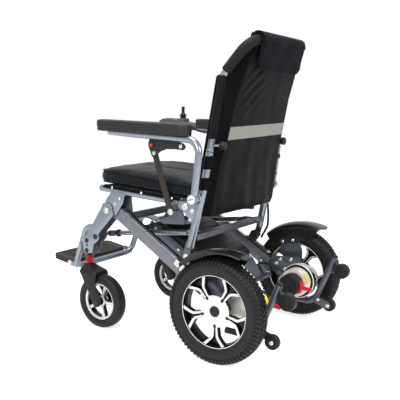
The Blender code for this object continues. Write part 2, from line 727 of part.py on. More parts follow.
def caster_wheel():
    x = SWIVEL[0]
    centre = (x, *CASTER_HUB)
    tread = [
        (-0.0160, 0.0625),
        (-0.0225, 0.0730),
        (-0.0190, 0.0870),
        (0.0000, 0.0920),
        (0.0190, 0.0870),
        (0.0225, 0.0730),
        (0.0160, 0.0625),
    ]
    pair("caster_tyre", "rubber", centre, [spin(tread, centre, "X", 30, True)])
    barrel = [(-0.0155, 0.0622), (0.0155, 0.0622), (0.0150, 0.0560), (-0.0150, 0.0560)]
    hub = [(-0.0235, 0.0049), (-0.0235, 0.0110), (0.0000, 0.0175), (0.0235, 0.0110), (0.0235, 0.0049)]
    solids = [spin(barrel, centre, "X", 30, True), spin(hub, centre, "X", 14, True)]
    for k in range(5):
        t = math.radians(90 + 72 * k)
        c, s = math.cos(t), math.sin(t)
        outline = [(0.012, -0.0075), (0.0575, -0.0050), (0.0575, 0.0050), (0.012, 0.0075)]
        turned = [(centre[1] + r * c - w * s, centre[2] + r * s + w * c) for r, w in outline]
        solids.append(slab(turned, x - 0.0070, x + 0.0070))
    pair("caster_rim", "rim_alloy", centre, solids)


def footrest():
    """A bent tube between the front legs; the plate hinges on two ears at its lower corners."""
    hinge = (-0.698, 0.1880)
    corners = [(0.157, -0.532, 0.315), (0.157, -0.600, 0.335), (0.157, -0.668, 0.1785), (-0.157, -0.668, 0.1785)]
    corners += [(-0.157, -0.600, 0.335), (-0.157, -0.532, 0.315)]
    solids = [tube(rounded(corners, 0.034, 4), 0.0110, 10)]
    stub = rod_x((-0.5335, 0.3155), 0.1500, 0.1915, 0.0125)
    ear = [(-0.662, 0.1700), (-0.662, 0.1880)] + arc(hinge, 0.0085, 90, 270, 5)
    for solid in (stub, slab(ear, 0.1535, 0.1585), rod_x(hinge, 0.1400, 0.1540, 0.0040), rod_x(hinge, 0.1580, 0.1620, 0.0070, 10)):
        solids += both_sides(solid)
    piece("footrest_frame", "frame_grey", (0.0, -0.532, 0.315), solids)
    slope = math.tan(math.radians(10))
    base = divided(rounded_rectangle(0.1520, 0.0480, 0.020, 4), 0.060)
    middle = -0.739
    rings = []
    for scale, lift in ((0.975, -0.0090), (1.0, -0.0065), (1.0, 0.0065), (0.985, 0.0090), (0.90, 0.0090), (0.88, 0.0078)):
        rings.append([(x * scale, middle + y * scale, 0.1945 - slope * y * scale + lift) for x, y in base])
    ribs = []
    for k in range(5):
        y = -0.0330 + 0.0150 * k
        z = 0.1945 - slope * y
        ribs.append(box((-0.1150, middle + y - 0.0020, z), (0.1150, middle + y + 0.0020, z + 0.0100)))
    cuts = both_sides(rod_x(hinge, 0.1380, 0.16, 0.0048))
    piece("footplate", "grey_rubber", (0.0, *hinge), [skin(rings)] + ribs, cuts)


# Backrest


def rear_frame():
    b, c, rear = POST_PIVOT, SLIDER_PIN, LINK_REAR
    low, knee, _, _, _ = BACK_LINE
    top = back_point(0.6060)
    gusset = [(-0.160, 0.4500), (-0.155, 0.4310), (-0.118, 0.3930), (-0.102, 0.3900), (-0.096, 0.4400), (-0.101, 0.4540)]
    gusset += [(-0.140, 0.4570)]
    tab = arc(c, 0.0125, 180, 360, 6) + [(-0.1150, 0.3350), (-0.1360, 0.3400)]
    one_side = [
        tube([low, knee, top], 0.0125, 12),
        slab(gusset, 0.2245, 0.2295),
        slab(tab, 0.2285, 0.2325),
        rod_x(c, 0.2240, 0.2295, 0.0040),
        rod_x(c, 0.2320, 0.2350, 0.0065, 10),
        slab(bar_outline(rear, (-0.118, 0.3490), 0.0100), 0.1478, 0.1533),
        slab(bar_outline(rear, (-0.118, 0.3490), 0.0100), 0.1607, 0.1662),
        rod_x((-0.118, 0.4300), 0.2290, 0.2320, 0.0055, 10),
    ]
    solids = []
    for solid in one_side:
        solids += both_sides(solid)
    solids += [box((-0.2130, -0.1300, 0.3370), (0.2130, -0.1100, 0.3570))]
    cuts = both_sides(rod_x(b, 0.220, 0.240, 0.0058))
    piece("rear_frame", "frame_grey", (0.0, *b), solids, cuts)


def back_point(z):
    """Point on the left back tube's centre line at height z."""
    for p, q in zip(BACK_LINE, BACK_LINE[1:]):
        if z <= q[2]:
            t = (z - p[2]) / (q[2] - p[2])
            return tuple(a + (b - a) * t for a, b in zip(p, q))
    return BACK_LINE[-1]


def back_hoop():
    start = back_point(0.6064)
    half = [start, BACK_LINE[2], BACK_LINE[3], BACK_LINE[4]]
    corners = [np.array(p) for p in half] + [np.array(p) * (-1, 1, 1) for p in half[::-1]]
    path = [corners[0], corners[1]]
    path += list(rounded([corners[1], corners[2], corners[3], corners[4], corners[5], corners[6]], 0.048, 5))[1:]
    path.append(corners[7])
    path = np.array(path)
    grip = [i for i, p in enumerate(path) if p[2] > 0.8350]
    first, last = grip[0], grip[-1]
    step_in = path[first] + (path[first - 1] - path[first]) * 0.30
    step_out = path[last] + (path[last + 1] - path[last]) * 0.30
    ahead_in = (path[first] - path[first - 1]) / np.linalg.norm(path[first] - path[first - 1])
    ahead_out = (path[last + 1] - path[last]) / np.linalg.norm(path[last + 1] - path[last])
    points = list(path[:first]) + [step_in - ahead_in * 0.001, step_in] + list(path[first : last + 1])
    radii = [BACK_TUBE_RADIUS] * (first + 1) + [FOAM_RADIUS] * (last - first + 2)
    points += [step_out, step_out + ahead_out * 0.001] + list(path[last + 1 :])
    radii = radii + [FOAM_RADIUS, BACK_TUBE_RADIUS] + [BACK_TUBE_RADIUS] * (len(path) - last - 1)
    piece("back_hoop", "frame_grey", (0.0, *start[1:]), [tube(points, radii, 12)])


def back_sling():
    """Tensioned back: a front sheet between the tubes, a rear sheet behind them, and a narrower core."""
    heights = [0.413, 0.422, 0.455, 0.500, 0.550, 0.600, 0.650, 0.700, 0.750, 0.795, 0.826, 0.845, 0.868, 0.874]
    rear_line = [(0.41, -0.078, 0.200), (0.43, -0.068, 0.198), (0.52, -0.052, 0.192), (0.60, -0.038, 0.184)]
    rear_line += [(0.683, -0.018, 0.178), (0.767, 0.003, 0.170), (0.835, 0.026, 0.164), (0.875, 0.040, 0.158)]
    rear_z, rear_y, rear_x = (np.array(column) for column in zip(*rear_line))
    rings = []
    for i, z in enumerate(heights):
        px, py, _ = back_point(min(z, 0.826))
        back = float(np.interp(z, rear_z, rear_y))
        wide = float(np.interp(z, rear_z, rear_x))
        thin = 0.6 if i in (0, len(heights) - 1) else 1.0
        sag = 0.010
        front_half = px - 0.0155
        core = front_half - 0.018
        if z > 0.83:
            front = py - 0.008 + (z - 0.826) * 0.86
            front_half = 0.158 - (z - 0.826) * 0.2
            core = front_half - 0.004
        else:
            front = py - 0.008
        front_back = front + 0.014 * thin
        rear_front = max(back - 0.010 * thin, front_back + 0.006)
        half = [
            (0.0, front - 0.004),
            (front_half * 0.55, front - 0.003),
            (front_half - 0.004, front + 0.001),
            (front_half, front + 0.006),
            (front_half - 0.003, front_back),
            (core, front_back + 0.002),
            (core, rear_front - 0.001),
            (wide - 0.004, rear_front),
            (wide, (rear_front + back) / 2),
            (wide - 0.005, back + 0.001),
            (wide * 0.6, back + sag * 0.3),
            (0.0, back + sag * 0.4),
        ]
        ring = half + [(-x, y) for x, y in half[-2:0:-1]]
        rings.append([(x, y, z) for x, y in ring])
    piece("back_sling", "fabric", (0.0, -0.06, 0.60), [skin(rings)])


def head_pad():
    """A soft pad on the rear face of the top bar, that folds forward over it."""
    section = [
        (0.0830, 0.8330),
        (0.0870, 0.8500),
        (0.0900, 0.8900),
        (0.0880, 0.9250),
        (0.0800, 0.9430),
        (0.0640, 0.9520),
        (0.0460, 0.9520),
        (0.0330, 0.9440),
        (0.0300, 0.9340),
        (0.0335, 0.9320),
        (0.0360, 0.9400),
        (0.0470, 0.9488),
        (0.0570, 0.9490),
        (0.0690, 0.9400),
        (0.0705, 0.9250),
        (0.0690, 0.8900),
        (0.0680, 0.8500),
        (0.0720, 0.8350),
    ]
    rings = []
    for x in (-0.149, -0.144, -0.125, -0.075, 0.0, 0.075, 0.125, 0.144, 0.149):
        close = 1.0 - 0.35 * (abs(x) / 0.149) ** 10
        low = 0.016 * (abs(x) / 0.149) ** 6
        ring = []
        for y, z in section:
            thin = 0.069 + (y - 0.069) * close if z < 0.93 else y
            rise = low * max(0.0, (0.89 - z) / 0.06)
            if y < 0.040 and z > 0.92:
                rise = 0.006 * (abs(x) / 0.149) ** 8
            ring.append((x, thin, z + rise))
        rings.append(ring)
    piece("head_pad", "pad_cloth", (0.0, 0.069, 0.89), [skin(rings)])


def back_knob():
    x, y, z = back_point(0.6250)
    start = y + BACK_TUBE_RADIUS + 0.0008
    profile = [(start, 0.0032), (-0.0385, 0.0032), (-0.0384, 0.0090), (-0.0340, 0.0125), (-0.0230, 0.0125), (-0.0190, 0.0095)]
    pair("back_knob", "black_plastic", (x, -0.030, z), [spin(profile, (x, 0.0, z), "Y", 14)])


# Armrests


def armrest():
    g, top, foot = ARMREST_PIN, STRUT_TOP, STRUT_FOOT
    x = ARMREST_X
    path = rounded([(x, -0.410, 0.6635), (x, -0.070, 0.6420), (x, g[0] + 0.003, g[1] + 0.012)], 0.042, 6)
    collar = rod_x(g, x - 0.0105, x + 0.0105, 0.0165, 14)
    pair("armrest_tube", "frame_grey", (x, *g), [tube(path, ARMREST_RADIUS), collar], [rod_x(g, 0.24, 0.27, 0.0070, 10)])

    pin = [rod_x(g, 0.2290, 0.2680, 0.0060), rod_x(g, 0.2299, 0.2325, 0.0100), rod_x(g, 0.2672, 0.2718, 0.0130, 12)]
    pair("armrest_pivot", "bright_steel", (0.2299, *g), pin)

    holes = both_sides
    strut_cut = rod_x(foot, 0.23, 0.245, 0.0047)
    pair("armrest_strut", "black_steel", (0.2382, *foot), [slab(bar_outline(foot, top, 0.0105, 3), 0.2365, 0.2400)], [strut_cut])

    button = (-0.255, 0.624)
    bracket = [
        (-0.264, 0.6740),
        (-0.262, 0.6440),
        (-0.2680, 0.6300),
        (-0.2670, 0.6170),
        (-0.2600, 0.6030),
        (-0.2560, 0.5900),
        (-0.2460, 0.5860),
        (-0.2380, 0.5920),
        (-0.2240, 0.6040),
        (-0.2000, 0.6125),
        (-0.1700, 0.6130),
        (-0.1380, 0.6110),
        (-0.1290, 0.6200),
        (-0.1370, 0.6300),
        (-0.1560, 0.6360),
        (-0.1600, 0.6740),
    ]
    plate = slab(bracket, 0.2404, 0.2438)
    boss = rod_x(button, 0.2404, 0.2475, 0.0105, 14)
    rear_bolt = rod_x((-0.148, 0.6225), 0.2430, 0.2462, 0.0045, 10)
    front_bolt = rod_x(top, 0.2430, 0.2462, 0.0045, 10)
    hole = rod_x(button, 0.2414, 0.2500, 0.0061)
    for tag, side, front in (("L", 1, -0.452), ("R", -1, -0.416)):
        pad = armrest_pad_shape(front)
        solids = [(p[0] * (side, 1, 1), p[1]) for p in (pad, plate, boss, rear_bolt, front_bolt)]
        cuts = [(hole[0] * (side, 1, 1), hole[1])]
        piece(f"armrest_pad_{tag}", "armrest_foam", (x * side, *g), solids, cuts)
    pair("release_button", "button_orange", (0.2500, *button), [rod_x(button, 0.2442, 0.2502, 0.0054)])


def armrest_pad_shape(front):
    """A long pad with round ends and a domed top, thicker than it is flat below."""
    rear = -0.096
    middle, half = (front + rear) / 2, (rear - front) / 2
    base = divided(rounded_rectangle(0.0275, half, 0.024, 4), 0.09)
    rings = []
    for scale, lift in ((0.86, 0.0), (0.97, 0.0022), (1.0, 0.0080), (1.0, 0.0150), (0.95, 0.0215), (0.80, 0.0252), (0.4, 0.0268)):
        ring = []
        for bx, by in base:
            shrink = 1 - (1 - scale) * 0.0275 / half
            y = middle + by * shrink
            ring.append((ARMREST_X + bx * scale, y, 0.6616 - 0.0430 * (y - rear) + lift))
        rings.append(ring)
    return skin(rings)


def controller():
    """Drive control on the right armrest: a sloped housing on a stub rod, a rubber boot and the joystick."""
    x = -ARMREST_X
    side = [
        (-0.576, 0.6760),
        (-0.560, 0.6660),
        (-0.470, 0.6560),
        (-0.428, 0.6590),
        (-0.424, 0.6700),
        (-0.436, 0.6850),
        (-0.520, 0.7030),
        (-0.560, 0.7020),
        (-0.577, 0.6940),
    ]
    rod = tube([(x, -0.440, 0.6655), (x, -0.4105, 0.6636)], 0.0085, 10)
    collar = spin([(0.6900, 0.0235), (0.7025, 0.0215)], (x, -0.480, 0.0), "Z", 16)
    solids = [slab(side, x - 0.0300, x + 0.0300), rod, collar]
    piece("controller_housing", "black_plastic", (x, -0.480, 0.69), solids)
    centre = (x, -0.480, 0.0)
    boot = [(0.7028, 0.0180), (0.7060, 0.0185), (0.7090, 0.0150), (0.7120, 0.0158), (0.7150, 0.0125), (0.7180, 0.0130)]
    boot += [(0.7210, 0.0100), (0.7250, 0.0085)]
    piece("joystick_boot", "rubber", (x, -0.480, 0.7030), [spin(boot, centre, "Z", 12)])
    stick = [(0.7254, 0.0050), (0.7320, 0.0045), (0.7350, 0.0095), (0.7400, 0.0120), (0.7450, 0.0115), (0.7480, 0.0070)]
    piece("joystick", "black_plastic", (x, -0.480, 0.7030), [spin(stick, centre, "Z", 14)])


def smooth_path(points, spacing):
    """A smooth curve through the points, read at even steps."""
    points = np.asarray(points, float)
    padded = np.vstack([2 * points[0] - points[1], points, 2 * points[-1] - points[-2]])
    fine = []
    for i in range(len(points) - 1):
        p0, p1, p2, p3 = padded[i : i + 4]
        for t in np.arange(24) / 24:
            term = 2 * p1 + (p2 - p0) * t + (2 * p0 - 5 * p1 + 4 * p2 - p3) * t * t + (3 * p1 - p0 - 3 * p2 + p3) * t**3
            fine.append(term / 2)
    fine = np.array(fine + [points[-1]])
    length = np.concatenate([[0], np.cumsum(np.linalg.norm(np.diff(fine, axis=0), axis=1))])
    steps = max(2, round(length[-1] / spacing))
    at = np.linspace(0, length[-1], steps + 1)
    return np.column_stack([np.interp(at, length, fine[:, k]) for k in range(3)])


def cord(name, points, radius, material, origin):
    """A held lead as one bevelled curve with closed ends."""
    curve = bpy.data.curves.new(name, "CURVE")
    curve.dimensions = "3D"
    curve.bevel_depth = radius
    curve.bevel_resolution = 2
    curve.use_fill_caps = True
    path = smooth_path(points, 5.5 * radius)
    spline = curve.splines.new("POLY")
    spline.points.add(len(path) - 1)
    for point, where in zip(spline.points, path - np.asarray(origin)):
        point.co = (*where, 1.0)
    obj = bpy.data.objects.new(name, curve)
    obj.location = (origin[0], origin[1] + AXLE_Y, origin[2])
    curve.materials.append(finish(material))
    bpy.context.scene.collection.objects.link(obj)


def cables():
    x = -ARMREST_X
    start = (x + 0.012, -0.4235, 0.6640)
    along = [
        start,
        (x + 0.013, -0.405, 0.6560),
        (x + 0.006, -0.370, 0.6480),
        (x + 0.003, -0.300, 0.6420),
        (x + 0.003, -0.200, 0.6350),
        (x + 0.003, -0.125, 0.6290),
        (x + 0.003, -0.098, 0.6100),
        (x + 0.003, -0.094, 0.5700),
        (x + 0.003, -0.101, 0.5200),
        (x + 0.003, -0.112, 0.4960),
    ]
    cord("controller_cable", along, 0.0025, "black_plastic", start)
    drop = [
        (-0.2340, -0.1060, 0.4480),
        (-0.2340, -0.1030, 0.4100),
        (-0.2340, -0.0990, 0.3680),
        (-0.2340, -0.1010, 0.3230),
        (-0.2340, -0.1130, 0.2980),
        (-0.2340, -0.1270, 0.2740),
    ]
    cord("frame_cable", drop, 0.0028, "black_plastic", drop[0])


# Folding links


def slider():
    c = SLIDER_PIN
    core = [(-0.0135, -0.0100), (0.0135, -0.0100), (0.0146, 0.0060), (0.0078, 0.0117), (-0.0078, 0.0117), (-0.0146, 0.0060)]
    cheek = [(-0.0140, -0.0205), (0.0140, -0.0205), (0.0150, 0.0060), (0.0080, 0.0120), (-0.0080, 0.0120), (-0.0150, 0.0060)]
    angle = math.cos(BEAM_ANGLE), math.sin(BEAM_ANGLE)

    def turned(outline):
        return [(c[0] + s * angle[0] - n * angle[1], c[1] + s * angle[1] + n * angle[0]) for s, n in outline]

    solids = [
        slab(turned(core), 0.2050, 0.2230),
        slab(turned(cheek), 0.2020, 0.2058),
        slab(turned(cheek), 0.2222, 0.2280),
    ]
    pair("slider", "black_steel", (0.214, *c), solids, [rod_x(c, 0.2232, 0.23, 0.0047)])


def lower_link():
    x = 0.157
    front, rear = np.array(LINK_FRONT), np.array(LINK_REAR)
    ahead = (rear - front) / np.linalg.norm(rear - front)
    p, q = front + ahead * 0.014, rear - ahead * 0.028
    ball = front + ahead * 0.036
    path = [(x, *p), (x, *(ball - ahead * 0.011)), (x, *(ball - ahead * 0.006)), (x, *(ball + ahead * 0.006))]
    path += [(x, *(ball + ahead * 0.011)), (x, *(ball + ahead * 0.0125)), (x, *q)]
    radii = [0.0060, 0.0085, 0.0125, 0.0125, 0.0090, 0.0088, 0.0088]
    solids = [
        tube(path, radii, 12),
        slab(bar_outline(front, p + ahead * 0.004, 0.0100, 5), 0.1500, 0.1640),
        slab(bar_outline(q - ahead * 0.004, rear, 0.0085, 5), 0.1544, 0.1596),
    ]
    pair("lower_link", "frame_grey", (x, *LINK_FRONT), solids, [rod_x(LINK_FRONT, 0.14, 0.17, 0.0047)])


def main():
    clear_scene()
    seat_frame()
    seat_sling()
    seat_cushion()
    main_beam()
    battery_pack()
    rear_cross_frame()
    slider()
    motor()
    release_lever()
    fender()
    anti_tip_gear()
    drive_wheel()
    front_leg()
    caster_fork()
    caster_spring()
    caster_wheel()
    footrest()
    rear_frame()
    back_hoop()
    back_sling()
    head_pad()
    back_knob()
    armrest()
    controller()
    cables()
    lower_link()


main()
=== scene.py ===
# Folding electric wheelchair: the looks of every piece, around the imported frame.
# Metres, +Z up. Chair places are (x, y, z) with y from the drive axle and +X on the user's left;
# addPiece moves them by axleY into the frame.
import math

import bpy
import numpy as np
from mathutils import Matrix
from mathutils.bvhtree import BVHTree


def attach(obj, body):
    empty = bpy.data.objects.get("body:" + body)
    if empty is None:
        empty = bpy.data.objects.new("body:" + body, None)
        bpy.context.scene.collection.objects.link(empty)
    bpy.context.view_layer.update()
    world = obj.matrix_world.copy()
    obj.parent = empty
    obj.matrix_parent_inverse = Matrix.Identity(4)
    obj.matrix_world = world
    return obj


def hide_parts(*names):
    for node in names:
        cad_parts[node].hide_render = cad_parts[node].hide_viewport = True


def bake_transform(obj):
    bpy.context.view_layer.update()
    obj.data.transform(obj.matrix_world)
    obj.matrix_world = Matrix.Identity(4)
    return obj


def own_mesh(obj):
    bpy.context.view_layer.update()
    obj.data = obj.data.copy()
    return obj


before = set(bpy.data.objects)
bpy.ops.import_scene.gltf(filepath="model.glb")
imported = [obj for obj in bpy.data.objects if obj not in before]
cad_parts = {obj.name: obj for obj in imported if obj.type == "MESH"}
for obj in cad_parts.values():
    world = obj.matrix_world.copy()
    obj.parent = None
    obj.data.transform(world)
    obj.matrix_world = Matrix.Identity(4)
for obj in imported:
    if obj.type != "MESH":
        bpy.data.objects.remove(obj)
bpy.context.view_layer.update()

scene = bpy.context.scene
axleY = 0.285
print("frame loaded:", len(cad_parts), "nodes")


# Camera, lights and floor

photoCamera = {"place": (1.795, 0.925, 0.709), "yaw": 32.94, "pitch": 7.45, "roll": -0.19, "lens": 57.384}


def makeCamera():
    # The view direction comes from yaw and pitch; right and up are then turned by the roll
    yaw, pitch, roll = (math.radians(photoCamera[k]) for k in ("yaw", "pitch", "roll"))
    ahead = np.array([-math.cos(yaw) * math.cos(pitch), -math.sin(yaw) * math.cos(pitch), -math.sin(pitch)])
    right = np.array([-math.sin(yaw), math.cos(yaw), 0.0])
    up = np.cross(right, ahead)
    right, up = (math.cos(roll) * right + math.sin(roll) * up, math.cos(roll) * up - math.sin(roll) * right)
    data = bpy.data.cameras.new("photo_camera")
    data.sensor_width = 36.0
    data.lens = photoCamera["lens"]
    camera = bpy.data.objects.new("photo_camera", data)
    scene.collection.objects.link(camera)
    matrix = Matrix(np.stack([right, up, -ahead], 1).tolist()).to_4x4()
    matrix.translation = (photoCamera["place"][0], photoCamera["place"][1] + axleY, photoCamera["place"][2])
    camera.matrix_world = matrix
    scene.camera = camera


def toLinear(code):
    # sRGB hex to linear light: value / 12.92 when small, else ((value + 0.055) / 1.055) to the power 2.4
    value = np.array([int(code[i : i + 2], 16) for i in (1, 3, 5)]) / 255
    return (*np.where(value <= 0.04045, value / 12.92, ((value + 0.055) / 1.055) ** 2.4).tolist(), 1.0)


def node(tree, kind, inputs=None, **settings):
    made = tree.nodes.new("ShaderNode" + kind)
    for key, value in settings.items():
        setattr(made, key, value)
    for key, value in (inputs or {}).items():
        if isinstance(value, bpy.types.NodeSocket):
            tree.links.new(value, made.inputs[key])
        else:
            made.inputs[key].default_value = value
    return made


studio = {
    "sky": 0.42, "white": "#ffffff", "floor": "#f4f4f4", "glow": 0.68,
    "lamps": [  # name, place, aim, size, watts
        ("topBox", (0.6, 0.2, 2.6), (0.0, 0.0, 0.4), 1.5, 52),
        ("nearBox", (2.4, 0.6, 1.5), (0.0, 0.0, 0.4), 1.2, 30),
        ("rearBox", (0.4, 2.6, 1.6), (0.0, 0.0, 0.5), 1.2, 26),
    ],
}


def makeStudio():
    world = bpy.data.worlds.new("studio_world")
    scene.world = world
    world.use_nodes = True
    tree = world.node_tree
    tree.nodes.clear()
    path = node(tree, "LightPath")
    seen = node(tree, "Math", {0: path.outputs["Is Camera Ray"], 1: path.outputs["Is Glossy Ray"]},
                operation="ADD")
    seen = node(tree, "Math", {0: seen.outputs[0], 1: path.outputs["Is Transmission Ray"]},
                operation="ADD", use_clamp=True)
    soft = node(tree, "Background", {"Color": toLinear(studio["white"]), "Strength": studio["sky"]})
    plain = node(tree, "Background", {"Color": toLinear(studio["white"]), "Strength": 1.0})
    mixed = node(tree, "MixShader", {0: seen.outputs[0], 1: soft.outputs[0], 2: plain.outputs[0]})
    node(tree, "OutputWorld", {"Surface": mixed.outputs[0]})
    for name, place, aim, size, watts in studio["lamps"]:
        light = bpy.data.lights.new(name, "AREA")
        light.shape = "DISK"
        light.size = size
        light.energy = watts
        lamp = bpy.data.objects.new(name, light)
        scene.collection.objects.link(lamp)
        back = (np.array(place) - aim) / np.linalg.norm(np.array(place) - aim)
        side = np.cross((0.0, 0.0, 1.0), back)
        side /= np.linalg.norm(side)
        matrix = Matrix(np.stack([side, np.cross(back, side), back], 1).tolist()).to_4x4()
        matrix.translation = place
        lamp.matrix_world = matrix
    mesh = bpy.data.meshes.new("studio_floor")
    mesh.from_pydata([(-9, -9, 0), (9, -9, 0), (9, 9, 0), (-9, 9, 0)], [], [(0, 1, 2, 3)])
    floor = bpy.data.objects.new("studio_floor", mesh)
    scene.collection.objects.link(floor)
    material = bpy.data.materials.new("white_sweep")
    material.use_nodes = True
    tree = material.node_tree
    shader = tree.nodes["Principled BSDF"]
    shader.inputs["Base Color"].default_value = toLinear(studio["floor"])
    shader.inputs["Roughness"].default_value = 0.9
    shader.inputs["Specular IOR Level"].default_value = 0.1
    path = node(tree, "LightPath")
    shader.inputs["Emission Color"].default_value = (1.0, 1.0, 1.0, 1.0)
    seen = node(tree, "Math", {0: path.outputs["Is Camera Ray"], 1: path.outputs["Is Glossy Ray"]},
                operation="ADD", use_clamp=True)
    glow = node(tree, "Math", {0: seen.outputs[0], 1: studio["glow"]}, operation="MULTIPLY")
    tree.links.new(glow.outputs[0], shader.inputs["Emission Strength"])
    mesh.materials.append(material)
    scene.view_settings.view_transform = "Standard"


makeCamera()
makeStudio()
print("camera and studio ready")


# Shapes as numpy arrays: [points, quads, other faces]


def outward(shape):
    # The signed volume, the sum of a . (b x c) / 6 over all triangles, is made positive
    points, quads, others = shape
    a, b, c, d = (points[quads[:, i]] for i in range(4))
    volume = np.einsum("ij,ij->", a, np.cross(b, c)) + np.einsum("ij,ij->", a, np.cross(c, d))
    for face in others:
        ring = points[list(face)]
        volume += np.einsum("j,ij->", ring[0], np.cross(ring[1:-1], ring[2:]))
    if volume < 0:
        return [points, quads[:, ::-1], [tuple(reversed(face)) for face in others]]
    return shape


def skinOf(rings, closed=False):
    # Row i, column j of the grid of points joins (i + 1, j) and (i, j + 1); open rows are capped at both ends
    rings = np.asarray(rings, float)
    count, size = rings.shape[:2]
    rows = np.arange(count if closed else count - 1)[:, None]
    columns = np.arange(size)[None, :]
    below, beside = (rows + 1) % count, (columns + 1) % size
    corners = (rows * size + columns, rows * size + beside, below * size + beside, below * size + columns)
    quads = np.stack(np.broadcast_arrays(*corners), -1).reshape(-1, 4)
    others = [] if closed else [tuple(range(size))[::-1], tuple(range((count - 1) * size, count * size))]
    return outward([rings.reshape(-1, 3), quads, others])


def roundedPath(points, radius, steps=6):
    # Each inner corner becomes an arc tangent to both sides, its centre radius / sin(half angle) away
    points = [np.asarray(p, float) for p in points]
    out = [points[0]]
    for before, corner, after in zip(points, points[1:], points[2:]):
        a, b = before - corner, after - corner
        longA, longB = np.linalg.norm(a), np.linalg.norm(b)
        a, b = a / longA, b / longB
        half = math.acos(float(np.clip(a @ b, -1, 1))) / 2
        if half > 1.54:
            out.append(corner)
            continue
        reach = min(radius / math.tan(half), 0.48 * longA, 0.48 * longB)
        small = reach * math.tan(half)
        centre = corner + (a + b) / np.linalg.norm(a + b) * small / math.sin(half)
        side = b - a * float(a @ b)
        side /= np.linalg.norm(side)
        turn = np.linspace(0, math.pi - 2 * half, steps + 1)[:, None]
        out += list(centre + (corner + a * reach - centre) * np.cos(turn) - a * small * np.sin(turn))
    out.append(points[-1])
    return np.array(out)


def smoothed(rows, steps=6):
    # Catmull-Rom through the rows: half of
    # 2 p1 + (p2 - p0) t + (2 p0 - 5 p1 + 4 p2 - p3) t^2 + (3 p1 - p0 - 3 p2 + p3) t^3
    rows = np.asarray(rows, float)
    p = np.vstack([2 * rows[0] - rows[1], rows, 2 * rows[-1] - rows[-2]])
    t = np.arange(steps)[None, :, None] / steps
    p0, p1, p2, p3 = (p[k : len(rows) - 1 + k, None] for k in range(4))
    out = (2 * p1 + (p2 - p0) * t + (2 * p0 - 5 * p1 + 4 * p2 - p3) * t**2 + (3 * p1 - p0 - 3 * p2 + p3)
           * t**3) / 2
    return np.vstack([out.reshape(-1, rows.shape[1]), rows[-1:]])


def roundedOutline(points, radius, steps=5):
    points = [tuple(p) for p in points]
    return roundedPath([points[-1]] + points + [points[0]], radius, steps)[1:-1]


def insetBy(outline, amount):
    # A point moves along the mean of its two sides' normals, over one plus the cosine between them
    ahead = np.roll(outline, -1, 0) - outline
    ahead /= np.maximum(np.linalg.norm(ahead, axis=1), 1e-9)[:, None]
    behind = np.roll(ahead, 1, 0)
    x, y = outline.T
    turn = 1.0 if np.sum(x * np.roll(y, -1) - np.roll(x, -1) * y) > 0 else -1.0
    normal = np.stack([-ahead[:, 1] - behind[:, 1], ahead[:, 0] + behind[:, 0]], 1)
    return outline + turn * amount * normal / np.maximum(1 + np.sum(ahead * behind, 1), 0.3)[:, None]


def plate(outline, x0, x1, edge=0.0006, corner=0.0015):
    # The (y, z) outline pulled along X; quarter-round rims: inset edge (1 - sin t), depth edge (1 - cos t)
    outline = roundedOutline(outline, corner) if corner else np.asarray(outline, float)
    turn = np.linspace(0, math.pi / 2, 4)
    deep = np.concatenate([x0 + edge * (1 - np.cos(turn)), x1 - edge * (1 - np.cos(turn))[::-1]])
    inset = np.concatenate([edge * (1 - np.sin(turn)), edge * (1 - np.sin(turn))[::-1]])
    rings = [np.column_stack([np.full(len(outline), x), insetBy(outline, i)]) for x, i in zip(deep, inset)]
    return skinOf(rings)


def block(low, high, edge=0.0008, corner=0.0015):
    outline = [(low[1], low[2]), (high[1], low[2]), (high[1], high[2]), (low[1], high[2])]
    return plate(outline, low[0], high[0], edge, corner)


def framesAlong(path):
    # A normal carried along the path with the least twist, and the direction across it
    ahead = np.gradient(path, axis=0)
    ahead /= np.linalg.norm(ahead, axis=1)[:, None]
    normal = np.cross(ahead[0], (0.0, 0.0, 1.0))
    if np.linalg.norm(normal) < 0.1:
        normal = np.cross(ahead[0], (1.0, 0.0, 0.0))
    normals = []
    for step in ahead:
        normal = normal - step * (normal @ step)
        normal = normal / np.linalg.norm(normal)
        normals.append(normal)
    normals = np.array(normals)
    return normals, np.cross(ahead, normals)


def sweep(path, section):
    # Section points (u, v) ride on the path: path + u normal + v across; each point may have its own section
    path = np.asarray(path, float)
    section = np.broadcast_to(section, (len(path),) + np.asarray(section).shape[-2:])
    normal, across = framesAlong(path)
    return skinOf(path[:, None] + section[..., :1] * normal[:, None] + section[..., 1:] * across[:, None])


def pipe(path, radius, sides=28, edge=0.0006):
    # A round bar: circle of the radius, drawn in by edge at both ends
    path = np.asarray(path, float)
    radius = np.broadcast_to(np.asarray(radius, float), len(path))
    first, last = path[1] - path[0], path[-1] - path[-2]
    first, last = first / np.linalg.norm(first) * edge, last / np.linalg.norm(last) * edge
    path = np.vstack([path[:1], path[:1] + first, path[1:-1], path[-1:] - last, path[-1:]])
    radius = np.concatenate([[radius[0] - edge, radius[0]], radius[1:-1], [radius[-1], radius[-1] - edge]])
    angle = np.arange(sides) * 2 * math.pi / sides
    circle = np.stack([np.cos(angle), np.sin(angle)], 1)
    return sweep(path, radius[:, None, None] * circle)


def lathe(profile, centre, axis="X", sides=64, ring=False):
    # A profile of (along, radius) turned about the axis: (radius cos t, radius sin t)
    along, radius = np.asarray(profile, float).T
    angle = np.arange(sides) * 2 * math.pi / sides
    u, v = np.outer(radius, np.cos(angle)), np.outer(radius, np.sin(angle))
    a = np.broadcast_to(along[:, None], u.shape)
    columns = {"X": (a, u, v), "Y": (v, a, u), "Z": (u, v, a)}[axis]
    return skinOf(np.stack(columns, -1) + np.asarray(centre, float), ring)


def softLathe(profile, centre, axis="X", sides=64, ring=False, corner=0.0008):
    # The same with every corner of the profile rounded
    soft = roundedOutline(profile, corner, 3) if ring else roundedPath(profile, corner, 3)
    return lathe(soft, centre, axis, sides, ring)


